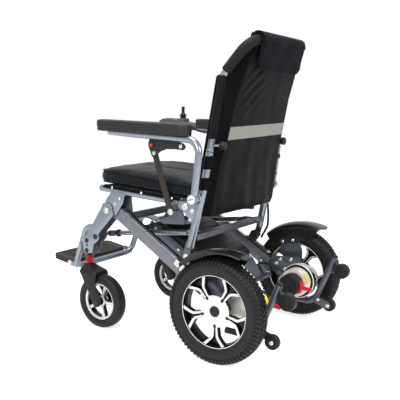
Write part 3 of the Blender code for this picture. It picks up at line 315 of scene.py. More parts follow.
def rodX(where, x0, x1, radius, sides=28):
    # A round bar along X through the (y, z) place
    return softLathe([(x0, radius * 0.2), (x0, radius), (x1, radius), (x1, radius * 0.2)],
                     (0.0, *where), "X", sides, corner=0.0005)


def mirrorX(shape):
    return [shape[0] * (-1.0, 1.0, 1.0), shape[1][:, ::-1], [tuple(reversed(f)) for f in shape[2]]]


def bothSides(shapes):
    return list(shapes) + [mirrorX(s) for s in shapes]


def turned(shape, about, axis, degrees):
    # Rotation about an axis through the point: Rodrigues' formula as one matrix
    x, y, z = np.asarray(axis, float) / np.linalg.norm(axis)
    t = math.radians(degrees)
    cross = np.array([[0, -z, y], [z, 0, -x], [-y, x, 0]])
    matrix = np.eye(3) + math.sin(t) * cross + (1 - math.cos(t)) * cross @ cross
    return [(shape[0] - about) @ matrix.T + about, shape[1], shape[2]]


def arcYZ(centre, radius, start, end, steps=10):
    t = np.radians(np.linspace(start, end, steps + 1))
    return list(zip(centre[0] + radius * np.cos(t), centre[1] + radius * np.sin(t)))


def barOutline(p, q, half, steps=10):
    # A flat bar with round ends from p to q
    heading = math.degrees(math.atan2(q[1] - p[1], q[0] - p[0]))
    return (arcYZ(q, half, heading - 90, heading + 90, steps)
            + arcYZ(p, half, heading + 90, heading + 270, steps))


def strip(points, width):
    # Outline of a band of that width along (y, z) points
    points = np.asarray(points, float)
    ahead = np.gradient(points, axis=0)
    ahead /= np.linalg.norm(ahead, axis=1)[:, None]
    side = np.stack([-ahead[:, 1], ahead[:, 0]], 1) * width / 2
    return np.vstack([points + side, (points - side)[::-1]])


def rectangle(halfWide, halfDeep):
    return [(-halfWide, -halfDeep), (halfWide, -halfDeep), (halfWide, halfDeep), (-halfWide, halfDeep)]


def sided(profile, side):
    # The (along, radius) profile on the side of the middle that the sign gives
    return [(side * along, radius) for along, radius in profile]


def divided(path, step):
    # Each stretch is cut into equal parts no longer than the step; the last point is left out
    out = []
    for p, q in zip(path, path[1:]):
        count = max(1, math.ceil(np.linalg.norm(q - p) / step))
        out += [p + (q - p) * i / count for i in range(count)]
    return np.array(out)


def bolt(where, radius, height, out=1, washer=1.35):
    # A washer, a domed button head and its round socket, turned as one closed profile
    steps = np.array([(-0.002, washer), (0.0008, washer), (0.001, 1.0), (height * 0.55, 1.0), (height, 0.74),
                      (height, 0.44), (height * 0.45, 0.42), (height * 0.4, 0.05)])
    profile = np.stack([steps[:, 0] * out, steps[:, 1] * radius], 1)
    return lathe(roundedPath(profile, radius * 0.08, 2), where, "X", 24)


def bolts(x, places, radius, height, out=1):
    # The same bolt at several (y, z) places of one face
    return [bolt((x, *place), radius, height, out) for place in places]


def cap(where, radius, height):
    # A plain domed head without a socket: height sin t, radius cos t
    t = np.linspace(0, math.pi / 2, 6)
    profile = [(-0.002, radius)] + [(height * math.sin(a), radius * max(math.cos(a), 0.06)) for a in t]
    return lathe(profile, where, "X", 24)


def addPiece(name, shapes, finish, body, nodes=(), slot=None, sharp=38.0):
    # One mesh of all shapes: it rides on the body and stands for the nodes
    points = np.vstack([s[0] for s in shapes]) + (0.0, axleY, 0.0)
    faces, offset = [], 0
    for shape in shapes:
        faces += (shape[1] + offset).tolist()
        faces += [[i + offset for i in face] for face in shape[2]]
        offset += len(shape[0])
    mesh = bpy.data.meshes.new(name)
    mesh.from_pydata(points.tolist(), [], faces)
    mesh.shade_smooth()
    mesh.set_sharp_from_angle(angle=math.radians(sharp))
    mesh.materials.append(finishes[finish])
    piece = bpy.data.objects.new(name, mesh)
    scene.collection.objects.link(piece)
    if body:
        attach(piece, body)
    if nodes:
        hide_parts(*nodes)
    slot = slot or slots[finish]
    return piece


def addPair(name, shapes, finish, body, nodes=(), **more):
    # The left piece and its mirror image; a star in a body or node name stands for L or R
    made = {}
    for tag in "LR":
        mine = shapes if tag == "L" else [mirrorX(s) for s in shapes]
        ends = [n.replace("*", tag) for n in nodes]
        made[tag] = addPiece(f"{name}_{tag}", mine, finish, body.replace("*", tag), ends, **more)
    return made


# Finishes


def surface(key, name, colour, roughness, metallic=0.0, second=None, patch=0.03, grain=0.0012, depth=0.00006,
            gloss=0.06, **sockets):
    # Colour drifts towards the second one over patches, which vary the roughness too; a fine grain dents it
    material = bpy.data.materials.new(name)
    material.use_nodes = True
    tree = material.node_tree
    shader = tree.nodes["Principled BSDF"]
    shader.inputs["Base Color"].default_value = toLinear(colour)
    shader.inputs["Metallic"].default_value = metallic
    if metallic < 0.2:
        shader.inputs["Specular IOR Level"].default_value = 0.22
    for socket, value in sockets.items():
        shader.inputs[socket.replace("_", " ")].default_value = value
    place = node(tree, "TexCoord").outputs["Object"]
    fine = node(tree, "TexNoise", {"Vector": place, "Scale": 1 / grain, "Detail": 2.0})
    broad = node(tree, "TexNoise", {"Vector": place, "Scale": 1 / patch, "Detail": 3.0})
    bump = node(tree, "Bump", {"Height": fine.outputs[0], "Distance": depth, "Strength": 1.0})
    tree.links.new(bump.outputs[0], shader.inputs["Normal"])
    limits = {"From Min": 0.3, "From Max": 0.7, "To Min": roughness - gloss, "To Max": roughness + gloss}
    spread = node(tree, "MapRange", {"Value": broad.outputs[0], **limits})
    tree.links.new(spread.outputs[0], shader.inputs["Roughness"])
    if second:
        both = {"Factor": broad.outputs[0], "A": toLinear(colour), "B": toLinear(second)}
        mix = node(tree, "Mix", both, data_type="RGBA")
        tree.links.new(mix.outputs["Result"], shader.inputs["Base Color"])
    finishes[key] = material
    return material


finishes = {}
# slot names and the finishes that usually take them
slotFinishes = {
    "armrest_foam": "grip foam", "battery_case": "battery", "black_plastic": "nylon lead bracket case",
    "black_steel": "blackSteel strut", "bright_steel": "zinc edge white motorSilver label",
    "button_orange": "orange", "fabric": "backCloth panelCloth sleeve piping webbing", "frame_dark": "slate",
    "frame_grey": "frame beam reflective", "gloss_plastic": "gloss", "grey_rubber": "mat",
    "lever_red": "lever yellow", "pad_cloth": "padCloth cushionCloth", "rim_alloy": "wheelBlack machined",
    "rubber": "tyre boot", "spring_red": "red",
}
slots = {key: slot for slot, keys in slotFinishes.items() for key in keys.split()}


def makeFinishes():
    # Satin metallic powder coat on aluminium tube: light blue-grey with a faint orange peel
    surface("frame", "satin_metallic_powder_coat", "#8b939c", 0.23, 0.72, "#7c848d", 0.05, 0.0011, 0.00003)
    # The same coat in a darker slate, on the lower plates and arms
    surface("slate", "slate_powder_coat", "#575b65", 0.34, 0.5, "#4c5059", 0.05, 0.0011, 0.00004)
    # Extruded beam, bead-blasted before coating: mid grey with a fine sparkle
    surface("beam", "blasted_beam_coat", "#797a80", 0.44, 0.5, "#6b6c73", 0.012, 0.0009, 0.00008)
    # Polished edge strip of the beam: nearly white
    surface("edge", "polished_aluminium_edge", "#d9dbde", 0.22, 0.85, "#c6c9cd", 0.02, 0.0006, 0.00002)
    # Zinc-plated steel fasteners: bright and a little cloudy
    surface("zinc", "zinc_plated_steel", "#d6d6d2", 0.24, 1.0, "#b9bab8", 0.006, 0.0005, 0.00002)
    # Black powder-coated steel bars and bolts
    surface("blackSteel", "black_powder_coated_steel", "#1b1b1d", 0.42, 0.3, "#242325", 0.01, 0.0008, 0.00005)
    # Injection-moulded nylon with a spark-eroded grain: black, dull sheen
    surface("nylon", "moulded_black_nylon", "#121213", 0.42, 0.0, "#181819", 0.02, 0.0007, 0.00008)
    # Gloss ABS of the wheel guards: black with a broad soft reflection
    surface("gloss", "gloss_abs_guard", "#0e0e0f", 0.24, 0.0, "#121213", 0.05, 0.003, 0.00004,
            Specular_IOR_Level=0.45)
    # Self-skinned polyurethane foam of the arm pads: dark grey-brown, matt, fine pores
    surface("foam", "skinned_polyurethane_foam", "#2b292a", 0.44, 0.0, "#232122", 0.02, 0.001, 0.00012)
    # Closed-cell foam sleeve of the push bar: dark brownish grey with open pores
    surface("grip", "closed_cell_foam_grip", "#1c1a18", 0.62, 0.0, "#151412", 0.006, 0.0016, 0.0003,
            Specular_IOR_Level=0.14)
    # Tyre rubber: near black, matt, with lighter patches at random: a painted highlight standing for the
    # light specks on the tread
    surface("tyre", "carbon_black_tyre_rubber", "#0f0f10", 0.5, 0.0, "#191919", 0.02, 0.001, 0.0001,
            Specular_IOR_Level=0.24)
    # Ribbed rubber mat of the footplate: dark grey-brown
    surface("mat", "ribbed_rubber_mat", "#332f2e", 0.55, 0.0, "#282524", 0.015, 0.0009, 0.0001)
    # Diamond-turned wheel alloy under clear lacquer: white glare with a faint turning grain
    surface("machined", "diamond_turned_alloy", "#dddcda", 0.32, 0.2, "#d3d3d1", 0.02, 0.0007, 0.00002,
            Coat_Weight=0.4, Coat_Roughness=0.1)
    # Gloss black wheel paint in the pockets between the turned faces
    surface("wheelBlack", "gloss_black_wheel_paint", "#0c0c0d", 0.24, 0.1, "#111112", 0.02, 0.0015, 0.00003)
    # Cast and turned aluminium of the motor housings: warm silver
    surface("motorSilver", "turned_cast_aluminium", "#e4e2da", 0.34, 0.3, "#dad8d0", 0.05, 0.0006, 0.00002)
    # Red paint on the spring wire
    surface("red", "red_spring_enamel", "#d42a30", 0.3, 0.1, "#c22228", 0.01, 0.0008, 0.00004)
    # Red nylon of the release levers
    surface("lever", "red_moulded_nylon", "#e01f38", 0.38, 0.0, "#cf1a32", 0.01, 0.0008, 0.00006)
    # Orange button cap
    surface("orange", "orange_moulded_abs", "#e8472a", 0.34, 0.0, "#da3f24", 0.01, 0.0008, 0.00004)
    # Battery case: dark brown-black ABS with a coarse moulded texture
    surface("battery", "textured_abs_case", "#1c1816", 0.46, 0.0, "#231e1b", 0.02, 0.0014, 0.00014)
    # Blank printed labels
    surface("yellow", "blank_yellow_label", "#ece21c", 0.42, 0.0, "#e2d81a", 0.01, 0.001, 0.00002)
    surface("label", "blank_grey_label", "#8a8f9c", 0.4, 0.0, "#7e8390", 0.004, 0.001, 0.00002)
    surface("white", "blank_white_label", "#e9e8e4", 0.42, 0.0, "#dfdedb", 0.006, 0.001, 0.00002)
    # PVC jacket of the leads: black with a low sheen
    surface("lead", "pvc_lead_jacket", "#131314", 0.42, 0.0, "#1a1a1b", 0.01, 0.0009, 0.00004)
    # Rubber bellows under the joystick
    surface("boot", "silicone_bellows", "#161616", 0.5, 0.0, "#1e1e1e", 0.01, 0.0008, 0.00005)
    # Flat bar of the armrest strut: dark grey-brown coat
    surface("strut", "dark_strut_coat", "#37322f", 0.4, 0.15, "#2d2927", 0.01, 0.0008, 0.00005)
    # Glass-filled nylon of the armrest brackets: dark grey
    surface("bracket", "glass_filled_nylon", "#212327", 0.44, 0.0, "#282a2e", 0.02, 0.0007, 0.0001)
    # Painted ABS of the control case: mid grey with a soft shine
    surface("case", "painted_abs_case", "#56555a", 0.34, 0.15, "#4c4b50", 0.02, 0.0008, 0.00003)
    # Woven polyester of the back and the seat cloth
    weave("backCloth", "woven_polyester", "#060607", "#0c0d0f", 0.62, 0.0011, 0.00012, 0.04)
    # Coated nylon of the rear panel: dark grey-black with a satin sheen
    weave("panelCloth", "coated_nylon_panel", "#0c0d0e", "#151617", 0.46, 0.001, 0.00008, 0.02)
    # Satin nylon of the post sleeves
    weave("sleeve", "satin_nylon_sleeve", "#0e0f10", "#1a1b1d", 0.38, 0.0008, 0.00006, 0.05)
    # Knitted mesh cover of the cushion: blue-grey with a deep weave
    weave("cushionCloth", "knitted_cushion_cover", "#101418", "#191d22", 0.74, 0.0022, 0.0003, 0.32)
    # Padded cover at the top of the back: navy-black
    weave("padCloth", "padded_back_cover", "#0a0c10", "#101319", 0.6, 0.0012, 0.00014, 0.02)
    # Bound edges and welts
    weave("piping", "polyester_binding", "#0c0d0e", "#151618", 0.52, 0.0009, 0.00008, 0.04)
    # Webbing straps
    weave("webbing", "polypropylene_webbing", "#080809", "#111112", 0.5, 0.0018, 0.00018, 0.04)
    # Glass-bead reflective tape: warm light grey
    surface("reflective", "glass_bead_tape", "#918f89", 0.42, 0.25, "#838179", 0.008, 0.0006, 0.00003)


def weave(key, name, colour, second, roughness, pitch, depth, shine):
    # Two crossed sets of threads: height is the larger of both sine waves; the colour drifts in soft patches
    material = surface(key, name, colour, roughness, 0.0, second, 0.04, pitch, depth * 0.3, 0.05)
    tree = material.node_tree
    shader = tree.nodes["Principled BSDF"]
    shader.inputs["Sheen Weight"].default_value = shine
    shader.inputs["Sheen Roughness"].default_value = 0.5
    shader.inputs["Specular IOR Level"].default_value = 0.03
    place = node(tree, "TexCoord").outputs["Object"]
    waves = []
    for direction, spin in (("X", (0.0, 0.0, 0.0)), ("Z", (0.0, 0.35, 0.0))):
        turn = node(tree, "Mapping", {"Vector": place, "Rotation": spin})
        settings = {"Vector": turn.outputs[0], "Scale": 0.5 / pitch / 3.1416, "Distortion": 0.4}
        wave = node(tree, "TexWave", settings, bands_direction=direction)
        waves.append(wave.outputs["Fac"])
    both = node(tree, "Math", {0: waves[0], 1: waves[1]}, operation="MAXIMUM")
    bump = node(tree, "Bump", {"Height": both.outputs[0], "Distance": depth, "Strength": 0.7})
    tree.links.new(shader.inputs["Normal"].links[0].from_socket, bump.inputs["Normal"])
    tree.links.new(bump.outputs[0], shader.inputs["Normal"])


makeFinishes()
print("finishes ready:", len(finishes))


# Drive wheels

driveWheel = {
    "x": 0.28, "z": 0.157, "lugs": 72, "spokes": 5, "firstSpoke": -90.0,
    # one arm of a Y spoke: radius, degrees off the Y's axis, width, place of its face along the axle
    "blade": [(0.043, 6.2, 0.0056, 0.0122), (0.06, 6.0, 0.0062, 0.0128), (0.0745, 6.0, 0.0076, 0.0138),
              (0.0828, 9.4, 0.0092, 0.0152), (0.0893, 12.4, 0.0096, 0.0166), (0.0961, 15.1, 0.0099, 0.0181),
              (0.103, 17.5, 0.0102, 0.0196)],
}


driveAxle = (0.0, driveWheel["z"])


def repeatRound(points, faces, count, centre):
    # Points (x, radius, angle) copied at equal angles: y = r cos a, z = r sin a
    steps = np.arange(count) * 2 * math.pi / count
    x, radius, angle = np.asarray(points, float).T
    angle = angle[None] + steps[:, None]
    spread = np.stack([np.broadcast_to(x, angle.shape), radius * np.cos(angle), radius * np.sin(angle)], -1)
    quads = (faces[None] + (np.arange(count) * len(x))[:, None, None]).reshape(-1, 4)
    return [spread.reshape(-1, 3) + centre, quads, []]


def lugBlock(line, half, height, skew):
    # A tread block along the (x, radius) line: a base ring sunk in the carcass and a narrower top ring
    line = np.asarray(line, float)
    ahead = np.gradient(line, axis=0)
    ahead /= np.linalg.norm(ahead, axis=1)[:, None]
    normal = np.stack([-ahead[:, 1], ahead[:, 0]], 1)
    if normal[:, 1].mean() < 0 or (abs(normal[:, 1].mean()) < 0.2 and (normal[:, 0] * line[:, 0]).sum() < 0):
        normal = -normal
    slant = np.linspace(-skew, skew, len(line))
    sunk, taper = -0.0012, 0.78
    rings = np.stack([np.column_stack([line + normal * up, slant + side * half])
                      for side, up in ((-1, sunk), (-taper, height), (taper, height), (1, sunk))], 1)
    count = len(line)
    rowIndex = np.arange(count - 1)[:, None]
    column = np.arange(4)[None]
    beside = (column + 1) % 4
    quads = np.stack([rowIndex * 4 + column, rowIndex * 4 + beside, (rowIndex + 1) * 4 + beside,
                      (rowIndex + 1) * 4 + column], -1).reshape(-1, 4)
    ends = np.array([[3, 2, 1, 0], [(count - 1) * 4 + k for k in range(4)]])
    return rings.reshape(-1, 3), np.vstack([quads, ends])


def tyreLugs(centre, line, half, height, skew, shift):
    # The block repeated round the tyre, each turned by skew along its line and all turned by shift
    points, faces = lugBlock(line, half, height, skew)
    points[:, 2] += shift
    first = outward([repeatRound(points, faces, 1, (0, 0, 0))[0], faces, []])
    return repeatRound(points, first[1], driveWheel["lugs"], centre)


def makeDriveTyres():
    # A carcass with two rows of tread blocks on each side and a row of small ones in the middle
    w = driveWheel
    centre = np.array([w["x"], 0.0, w["z"]])
    half = [(0.0205, 0.1072), (0.0232, 0.1085), (0.025, 0.112), (0.0262, 0.116), (0.027, 0.1163),
            (0.0271, 0.1178), (0.0266, 0.1183), (0.0276, 0.123), (0.028, 0.129), (0.0277, 0.1345),
            (0.0281, 0.135), (0.0279, 0.1368), (0.0272, 0.1373), (0.0262, 0.1425), (0.0236, 0.1478),
            (0.0195, 0.1512), (0.012, 0.1532), (0.0, 0.1538)]
    carcass = lathe(half + sided(half[-2::-1], -1), centre, "X", 120, True)
    lugs = []
    shoulder = [(0.015, 0.1524), (0.02, 0.1508), (0.024, 0.1474), (0.0264, 0.1422), (0.0272, 0.1385)]
    middle = [(0.003, 0.1536), (0.0075, 0.1535), (0.012, 0.153)]
    step = 2 * math.pi / w["lugs"]
    for sign, shift in ((1, 0.0), (-1, 0.5)):
        lugs.append(tyreLugs(centre, sided(shoulder, sign), step * 0.36, 0.0026, 0.01, step * shift))
        later = step * (shift + 0.3)
        lugs.append(tyreLugs(centre, sided(middle, sign), step * 0.34, 0.0029, -0.022 * sign, later))
    ridge = tyreLugs(centre, [(0.0, 0.1535), (0.0016, 0.1537)], step * 0.4, 0.0026, 0.0, step * 0.1)
    addPair("drive_tyre_skin", [carcass] + lugs + [ridge], "tyre", "drive_wheel_*", ["drive_tyre_*"],
            sharp=30)


def makeDriveRims():
    # Black barrel, hub and pockets; turned faces on the flanges, the hub and the blades
    w = driveWheel
    centre = np.array([w["x"], 0.0, w["z"]])
    black, white = [], []
    barrel = [(-0.0212, 0.1066), (-0.0212, 0.1035), (-0.017, 0.101), (-0.012, 0.0985), (0.008, 0.0985),
              (0.015, 0.101), (0.019, 0.1026), (0.0208, 0.1034), (0.0212, 0.1066), (0.015, 0.1066),
              (-0.015, 0.1066)]
    black.append(softLathe(barrel, centre, "X", 96, True))
    for flange in ([(-0.0216, 0.103), (-0.0198, 0.1026), (-0.0198, 0.106), (-0.0216, 0.1062)],
                   [(0.0198, 0.1046), (0.0216, 0.1048), (0.0216, 0.1068), (0.0198, 0.1068)]):
        white.append(softLathe(flange, centre, "X", 96, True, 0.0004))
    hub = [(-0.03, 0.0088), (-0.03, 0.028), (-0.026, 0.03), (0.002, 0.039), (0.0105, 0.046), (0.0105, 0.0088)]
    black.append(softLathe(hub, centre, "X", 72, True))
    face = [(0.01, 0.0088), (0.01, 0.047), (0.0126, 0.047), (0.0132, 0.017), (0.0118, 0.016),
            (0.0118, 0.0088)]
    white.append(softLathe(face, centre, "X", 72, True, 0.0005))
    for k in range(w["spokes"]):
        turn = w["firstSpoke"] + 72 * k
        for sign in (-1, 1):
            white.append(bladeOf(turn, sign, centre, 0.0, 0.004))
            black.append(bladeOf(turn, sign, centre, 0.0014, 0.015, 0.0012))
            white.append(bladeOf(turn, sign, centre, 0.0162, 0.0012, -0.0012))
        web = spokeOutline([(0.077, -8.0), (0.101, -15.0), (0.1025, 0.0), (0.101, 15.0), (0.077, 8.0),
                            (0.044, 5.0), (0.044, -5.0)], turn, driveAxle)
        black.append(plate(web, w["x"] - 0.001, w["x"] + 0.005, 0.0006, 0.001))
        # the dark groove on the spoke's axis, that cuts a notch into the hub's face
        notch = [(0.0395, 5.6), (0.048, 5.2), (0.048, -5.2), (0.0395, -5.6), (0.0375, 0.0)]
        notch = spokeOutline(notch, turn, driveAxle)
        black.append(plate(notch, w["x"] + 0.006, w["x"] + 0.0134, 0.0004, 0.001))
    addPair("drive_rim_black", black, "wheelBlack", "drive_wheel_*", ["drive_rim_*"])
    addPair("drive_rim_turned_faces", white, "machined", "drive_wheel_*")
    dome = softLathe([(0.01, 0.008), (0.01, 0.015), (0.016, 0.0146), (0.0182, 0.011), (0.0182, 0.0012)],
                     centre, "X", 40)
    addPair("drive_hub_cap", [dome], "nylon", "drive_wheel_*")


def spokeOutline(rows, turn, centre):
    # (radius, degrees) pairs as (y, z) places round the centre: radius cos, radius sin of the turned angle
    radius, angle = np.array(rows)[:, 0], np.radians(np.array(rows)[:, 1] + turn)
    return np.stack([radius * np.cos(angle), radius * np.sin(angle)], 1) + centre


def bladeOf(turn, side, centre, back, deep, grow=0.0):
    # Rings along the arm, each a rounded rectangle: the face at its place less back, and deep behind it
    rows = np.array(driveWheel["blade"])
    t = np.linspace(0, len(rows) - 1, 19)
    rings = []
    stations = np.stack([np.interp(t, range(len(rows)), rows[:, k]) for k in range(4)], 1)
    for radius, off, width, face in stations:
        half = width / 2 + grow
        top, low = face - back, face - back - deep
        section = [(low, -half), (top - 0.0005, -half), (top, -half + 0.0005), (top, half - 0.0005),
                   (top - 0.0005, half), (low, half)]
        angle = math.radians(turn + side * off)
        along = np.array([math.cos(angle), math.sin(angle)])
        cross = np.array([-math.sin(angle), math.cos(angle)])
        rings.append([(centre[0] + depth, *(centre[1:] + along * radius + cross * wide))
                      for depth, wide in section])
    return skinOf(rings)


makeDriveTyres()
makeDriveRims()
print("drive wheels done")


# Casters, forks and springs

caster = {"x": 0.212, "y": -0.549, "hub": (-0.4965, 0.092), "turns": 5, "wire": 0.0017,
          "coil": 0.0122, "low": 0.217, "high": 0.249}


def makeCasterTyres():
    # A round tread with two shallow grooves, mirrored about the middle
    x, hub = caster["x"], caster["hub"]
    centre = np.array([x, *hub])
    half = [(0.015, 0.0622), (0.0185, 0.064), (0.0208, 0.068), (0.022, 0.0725), (0.0223, 0.074),
            (0.0216, 0.0746), (0.0214, 0.079), (0.02, 0.084), (0.0172, 0.088), (0.013, 0.0903),
            (0.0095, 0.0911), (0.0085, 0.0896), (0.0065, 0.0896), (0.0055, 0.0916), (0.0, 0.0919)]
    tyre = lathe(half + sided(half[-2::-1], -1), centre, "X", 96, True)
    addPair("caster_tyre_skin", [tyre], "tyre", "caster_*", ["caster_tyre_*"])


def makeCasterRims():
    # Black barrel, hub and spoke cores; turned faces on both sides
    x, hub = caster["x"], caster["hub"]
    centre = np.array([x, *hub])
    black = [softLathe([(-0.015, 0.0624), (0.015, 0.0624), (0.014, 0.059), (0.011, 0.056), (-0.011, 0.056),
                        (-0.014, 0.059)], centre, "X", 80, True),
             softLathe([(-0.0236, 0.0049), (-0.0236, 0.01), (-0.008, 0.015), (0.008, 0.015), (0.0236, 0.01),
                        (0.0236, 0.0049)], centre, "X", 48, True)]
    white = []
    spokeTurns = [67 + 72 * k for k in range(5)]
    for side in (1, -1):
        ring = [(0.01, 0.055), (0.0138, 0.0556), (0.0156, 0.0606), (0.0156, 0.0626), (0.012, 0.0626),
                (0.01, 0.059)]
        white.append(softLathe(sided(ring, side), centre, "X", 80, True, 0.0005))
        hubFace = [(0.0075, 0.011), (0.0075, 0.0195), (0.0098, 0.019), (0.012, 0.011)]
        white.append(softLathe(sided(hubFace, side), centre, "X", 48, True, 0.0005))
        low, high = sorted((side * 0.005, side * 0.0098))
        for turn in spokeTurns:
            face = [(0.016, -20), (0.03, -8.0), (0.057, -5.8), (0.057, 5.8), (0.03, 8.0), (0.016, 20)]
            white.append(plate(spokeOutline(face, turn, hub), x + low, x + high, 0.0008, 0.0015))
    for turn in spokeTurns:
        core = [(0.013, -30), (0.03, -13), (0.057, -9), (0.057, 9), (0.03, 13), (0.013, 30)]
        black.append(plate(spokeOutline(core, turn, hub), x - 0.0055, x + 0.0055, 0.0008, 0.0015))
    addPair("caster_rim_black", black, "wheelBlack", "caster_*", ["caster_rim_*"])
    addPair("caster_rim_turned_faces", white, "machined", "caster_*")


def forkArm(side):
    # A flat blade whose (y, z) outline narrows to the hub boss, with a soft outer edge
    hub, x = caster["hub"], caster["x"]
    outline = [(-0.569, 0.1895), (-0.558, 0.174), (-0.546, 0.15), (-0.524, 0.114)]
    outline += arcYZ(hub, 0.0165, 195, 350, 14)
    outline += [(-0.479, 0.112), (-0.502, 0.152), (-0.4965, 0.174), (-0.496, 0.1895)]
    return plate(outline, *sorted((x + side * 0.0262, x + side * 0.0328)), 0.0022, 0.006)


def makeForks():
    # The crown rises from a rounded rectangle over both arms to a round collar under the spring
    x, y, hub = caster["x"], caster["y"], caster["hub"]
    rows = smoothed([(0.186, -0.533, 0.0328, 0.0385, 0.008), (0.1925, -0.535, 0.0322, 0.0375, 0.01),
                     (0.201, -0.543, 0.0285, 0.0295, 0.016), (0.21, -0.548, 0.0215, 0.022, 0.018),
                     (0.2164, -0.549, 0.016, 0.016, 0.0155)], 5)
    rings = []
    for z, middle, halfX, halfY, corner in rows:
        ring = roundedOutline(rectangle(halfX, halfY), min(corner, halfX * 0.97, halfY * 0.97), 7)
        rings.append(np.column_stack([ring[:, 0] + x, ring[:, 1] + middle, np.full(len(ring), z)]))
    shapes = [skinOf(rings), forkArm(1), forkArm(-1)]
    stem = [(0.205, 0.004), (0.205, 0.006), (0.2765, 0.006), (0.2765, 0.004)]
    shapes.append(softLathe(stem, (x, y, 0), "Z", 32))
    for side in (1, -1):
        boss = [(0.0262, 0.006), (0.0262, 0.0125), (0.0332, 0.0125), (0.0337, 0.006)]
        shapes.append(softLathe(sided(boss, side), (x, *hub), "X", 40))
    addPair("caster_fork_shell", shapes, "nylon", "fork_*", ["caster_fork_*"], sharp=50)
    heads = [bolt((x + 0.0334, *hub), 0.0058, 0.0026), bolt((x - 0.0334, *hub), 0.0058, 0.0026, -1)]
    addPair("caster_axle_bolt", heads, "blackSteel", "fork_*")


def makeSprings():
    # Helix: x = r cos t, y = r sin t, z rises evenly; both ends run on level for a wire's width
    c = caster
    low, high = c["low"] + c["wire"], c["high"] - c["wire"]
    t = np.linspace(0, 2 * math.pi * c["turns"], c["turns"] * 28 + 1)
    path = np.stack([c["x"] + c["coil"] * np.cos(t), c["y"] + c["coil"] * np.sin(t),
                     low + (high - low) * t / t[-1]], 1)
    path = np.vstack([path[0] - (0, 2 * c["wire"], 0), path, path[-1] + (0, 2 * c["wire"], 0)])
    coils = addPair("caster_spring_coil", [pipe(path, c["wire"], 14, 0.0003)], "red", "swivel_*",
                    ["caster_spring_*"])
    for tag, piece in coils.items():
        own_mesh(piece)


makeCasterTyres()
makeCasterRims()
makeForks()
makeSprings()
print("casters done")


# Front legs and footrest

frontPivot, postPivot, sliderPin = (-0.45, 0.407), (-0.144, 0.442), (-0.14, 0.29)
armrestPin, strutTop, strutFoot = (-0.095, 0.469), (-0.247, 0.6), (-0.19, 0.423)
linkFront, linkRear = (-0.5, 0.315), (-0.155, 0.35)


def makeFrontLegs():
    # Two plates of one outline, given from the pivot, and between them the swivel block and stem housing
    a = frontPivot
    left = [(-0.018, 0.013), (-0.053, -0.0375), (-0.084, -0.085), (-0.1085, -0.099), (-0.11, -0.112),
            (-0.106, -0.127)]
    right = [(-0.067, -0.149), (-0.0605, -0.12), (-0.044, -0.108), (-0.035, -0.096), (-0.0385, -0.081)]
    outline = [(y + a[0], z + a[1]) for y, z in left + [(-0.1, -0.152)] + right
               + [(0.014, -0.029), (0.03, -0.012)]]
    outline += arcYZ(a, 0.0255, 0, 130, 14)
    outer = plate(outline, 0.2312, 0.236, 0.0009, 0.007)
    inner = plate(outline, 0.192, 0.197, 0.0009, 0.007)
    swivelBlock = plate([(-0.571, 0.253), (-0.516, 0.256), (-0.519, 0.3), (-0.55, 0.3), (-0.571, 0.29)],
                        0.1964, 0.2316, 0.0008, 0.003)
    addPair("front_leg_outer_plate", [outer], "frame", "front", ["front_leg_*"])
    addPair("front_leg_inner_plate", [inner], "slate", "front")
    profile = [(0.2492, 0.0072), (0.2492, 0.015), (0.253, 0.0165), (0.295, 0.0165), (0.295, 0.0072)]
    housing = softLathe(profile, (caster["x"], caster["y"], 0), "Z", 40, True)
    addPair("caster_stem_housing", [swivelBlock, housing], "slate", "front", slot="frame_grey")
    blockBolts = [(-0.539, 0.298), (-0.54, 0.264)]
    dark = [bolt((0.2358, *linkFront), 0.0072, 0.003), *bolts(0.2358, blockBolts, 0.0062, 0.0026),
            bolt((0.2358, -0.5375, 0.283), 0.003, 0.0016)]
    dark += bolts(0.1922, [linkFront] + blockBolts, 0.0062, 0.0026, -1)
    dark.append(rodX(linkFront, 0.148, 0.193, 0.004))
    addPair("front_leg_bolts", dark, "blackSteel", "front")


footrest = {"hinge": (-0.698, 0.188), "middleY": -0.739, "height": 0.1945, "slope": 10.0, "halfWide": 0.152,
            "halfDeep": 0.048}


def makeFootrest():
    hinge = footrest["hinge"]
    corners = [(0.157, -0.532, 0.315), (0.157, -0.608, 0.335), (0.157, -0.67, 0.177), (-0.157, -0.67, 0.177),
               (-0.157, -0.608, 0.335), (-0.157, -0.532, 0.315)]
    bar = pipe(roundedPath(corners, 0.034, 10), 0.011, 32)
    stub = rodX((-0.5335, 0.3155), 0.15, 0.1915, 0.0125)
    ear = [(-0.664, 0.17), (-0.664, 0.188)] + arcYZ(hinge, 0.0085, 90, 270, 12)
    shapes = [bar] + bothSides([stub, plate(ear, 0.1535, 0.1585, 0.0007, 0.002)])
    addPiece("footrest_tube", shapes, "frame", "front", ["footrest_frame"])
    heads = bothSides([bolt((0.1583, *hinge), 0.0066, 0.0034), rodX(hinge, 0.14, 0.155, 0.004),
                       bolt((0.1583, -0.67, 0.177), 0.004, 0.0026)])
    addPiece("footrest_hinge_bolts", heads, "zinc", "front")


